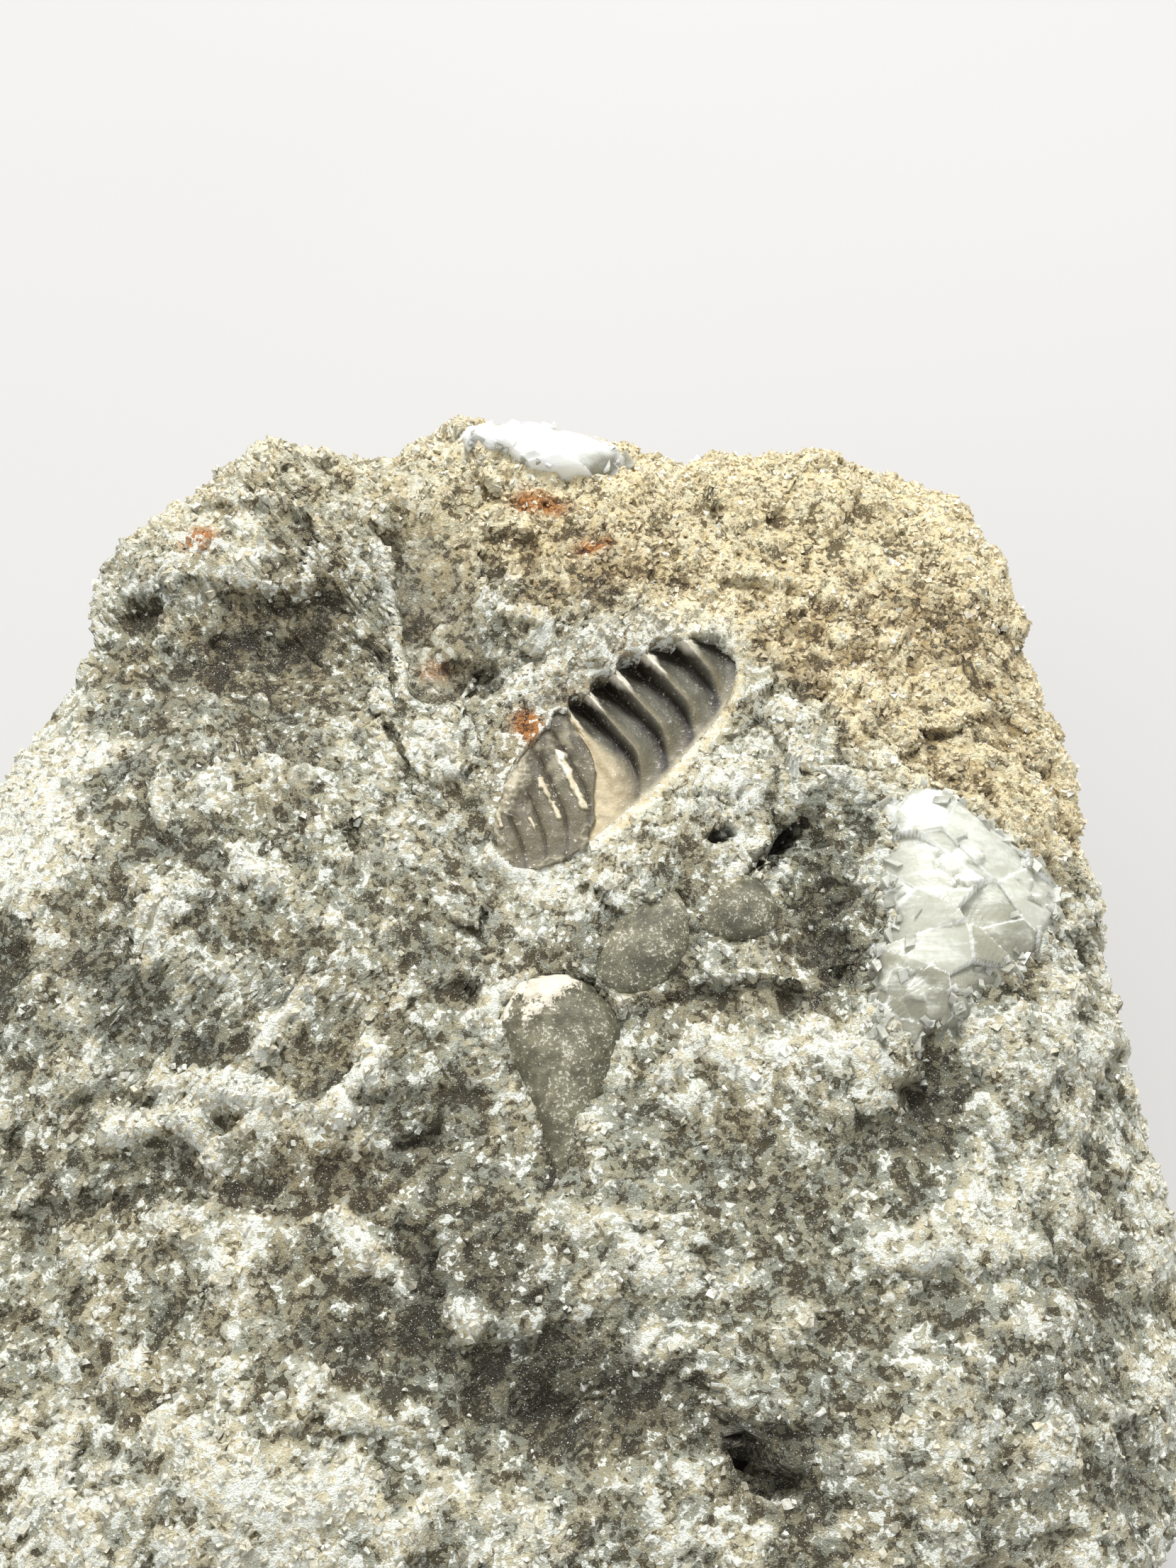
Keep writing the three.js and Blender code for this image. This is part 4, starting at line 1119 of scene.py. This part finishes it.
def turnedShell(profile, flat, turn, at):
    # a profile of radius and length carried round its axis, flattened, turned in the face
    around, rows = shellSteps
    angle = np.linspace(0, 2 * math.pi, around, endpoint=False)
    radius, length = profile(np.linspace(0, 1, rows + 2))
    x = np.outer(radius[1:-1], np.cos(angle)).ravel()
    z = np.outer(radius[1:-1], np.sin(angle)).ravel() * flat
    y = np.repeat(length[1:-1], around)
    x, z = (np.concatenate([[0], c, [0]]) for c in (x, z))
    y = np.concatenate([length[:1], y, length[-1:]])
    out = np.stack([x, 0.3 * (y - y.mean()), z], axis=1)
    out = out / np.maximum(np.linalg.norm(out, axis=1, keepdims=True), 1e-9)
    bump = layered([(1.1, 0.07), (0.4, 0.035), (0.16, 0.015)], x + at[0], y + at[1], z)
    x, y, z = (np.stack([x, y, z], axis=1) + out * bump[:, None]).T
    a = math.radians(turn)
    u, v = x * math.cos(a) - y * math.sin(a), x * math.sin(a) + y * math.cos(a)
    return np.stack([u + at[0], v + at[1], z + at[2]], axis=1), roundTriangles(around, rows)


def domeProfile(t):  # half a circle
    return np.sin(math.pi * t), -np.cos(math.pi * t)


shellLook = dict(
    deep=paint(80, 77, 59), light=paint(134, 130, 105), shadedSide=(0.5, 0.5, 0.5), speck=paint(226, 223, 208),
    crust=paint(206, 192, 160), crustTop=paint(250, 246, 232), cloudSize=0.6, fineSize=0.1,
    speckFrom=(0.6, 0.67), crustFrom=(0.4, 0.62), bump=0.09,
)


def shellFinish():
    # smooth grey-brown shell, clouded, with pale specks, painted shade on one side, and a cream crust where
    # its field says
    look = shellLook
    f = Finish("shell")
    cloud = f.noise(look["cloudSize"], 3, 0.6)
    fine = f.noise(look["fineSize"], 3, 0.7)
    speck = f.between(fine * 0.8 + cloud * 0.3, *look["speckFrom"])
    colour = f.mix(f.between(cloud, 0.3, 0.7), look["deep"], look["light"])
    # painted shade: the shaded side darker
    colour = f.mix(f.field("shadedSide") * 0.6, colour, f.mix(1.0, colour, look["shadedSide"], "MULTIPLY"))
    colour = f.mix(speck * 0.6, colour, look["speck"])
    crust = f.field("crust") + (fine - 0.5) * 1.4 + (cloud - 0.5) * 0.8
    crust = f.between(crust, *look["crustFrom"])
    colour = f.mix(crust, colour, f.mix(fine, look["crust"], look["crustTop"]))
    normal = f.bump(fine * 0.7 + cloud * 0.6 + crust * 0.5, look["bump"], 0.7)
    return f.surface(Base_Color=colour, Roughness=0.4 + 0.25 * fine, Normal=normal)


print("drawing the shells")
shell = shellFinish()
local, shellTriangles = turnedShell(beakProfile, beak["flat"], beak["turn"], beak["at"])
crust = np.exp(-oval(local[:, 0], local[:, 1], (-1.45, -6.7), (1.8, 0.7), 43)) * 1.2
crust = np.clip(crust + crust * 0.9 * layered([(0.7, 0.7), (0.3, 0.5)], *local.T), 0, 1)
local[:, 2] += 0.28 * crust * (1 + 0.7 * smoothNoise(*(local / 0.35).T))
# painted shade on the beak's right side
fields = {"crust": crust, "shadedSide": ramp(local[:, 0], -1.6, 1)}
makePiece("beak", fromFace(*local.T), shellTriangles, shell, ["shell_beak"], fields=fields)
for name, node, at, size, turn, bottom in domes:
    local, shellTriangles = turnedShell(domeProfile, 1, 0, (0, 0, 0))
    a = math.radians(turn)
    x, y, z = local.T * np.array(size)[:, None]
    z = calmHeight(*at[:2]) + at[2] + np.where(z < 0, z * (at[2] - bottom) / size[2], z)
    u, v = x * math.cos(a) - y * math.sin(a) + at[0], x * math.sin(a) + y * math.cos(a) + at[1]
    local = np.stack([u, v, z], axis=1)
    upperLeft = (local[:, 1] - at[1] - local[:, 0] + at[0]) / size[1]
    local[:, 2] -= 0.45 * ramp(upperLeft, -0.2, 1.2)
    crust = ramp(upperLeft, -0.7, 1.2) * 0.45
    # painted shade on the dome's lower right side
    fields = {"crust": crust, "shadedSide": ramp(-upperLeft, -0.6, 1)}
    makePiece(name, fromFace(*local.T), shellTriangles, shell, [node], fields=fields)


# floor, light and camera

stage = dict(
    floorSize=3.0, floorColour=(0.5, 0.495, 0.485), worldColour=(1, 1, 1), worldStrength=0.55,
    keyPower=2.6, keySize=0.16, keyPlace=(0.02, 0.24, 0.42),
    fillPower=0.8, fillSize=0.5, fillPlace=(-0.25, -0.35, 0.4),
    cameraElevation=52, cameraDistance=66.8, halfHeightTan=0.3642,
)


def floorFinish():
    f = Finish("paleFloor")
    cloud = f.noise(60, 2, 0.5)
    deeper = tuple(0.97 * c for c in stage["floorColour"])
    colour = f.mix(f.between(cloud, 0.2, 0.8), deeper, stage["floorColour"])
    return f.surface(Base_Color=colour, Roughness=0.7)


half = stage["floorSize"] / 2
floorMesh = bpy.data.meshes.new("floor")
floorCorners = [(-half, -half, 0), (half, -half, 0), (half, half, 0), (-half, half, 0)]
floorMesh.from_pydata(floorCorners, [], [(0, 1, 2, 3)])
floorMesh.materials.append(floorFinish())
floor = bpy.data.objects.new("floor", floorMesh)
bpy.context.scene.collection.objects.link(floor)


def areaLight(name, place, power, size):
    data = bpy.data.lights.new(name, "AREA")
    data.energy, data.size = power, size
    light = bpy.data.objects.new(name, data)
    light.location = place
    light.rotation_euler = (Vector((0, 0, 0.015)) - Vector(place)).to_track_quat("-Z", "Y").to_euler()
    bpy.context.scene.collection.objects.link(light)


areaLight("key", stage["keyPlace"], stage["keyPower"], stage["keySize"])
areaLight("fill", stage["fillPlace"], stage["fillPower"], stage["fillSize"])
world = bpy.data.worlds.new("studio")
world.use_nodes = True
world.node_tree.nodes["Background"].inputs["Color"].default_value = (*stage["worldColour"], 1)
world.node_tree.nodes["Background"].inputs["Strength"].default_value = stage["worldStrength"]
scene = bpy.context.scene
scene.world = world
scene.view_settings.view_transform = "Standard"

elevation = math.radians(stage["cameraElevation"])
back = Vector((0, -math.cos(elevation), math.sin(elevation)))
cameraData = bpy.data.cameras.new("camera")
cameraData.sensor_width = 36
cameraData.lens = 18 / stage["halfHeightTan"]
cameraData.clip_start = 0.001
camera = bpy.data.objects.new("camera", cameraData)
camera.location = Vector(rock["origin"] * mm) + back * stage["cameraDistance"] * mm
camera.rotation_euler = (-back).to_track_quat("-Z", "Y").to_euler()
scene.collection.objects.link(camera)
scene.camera = camera
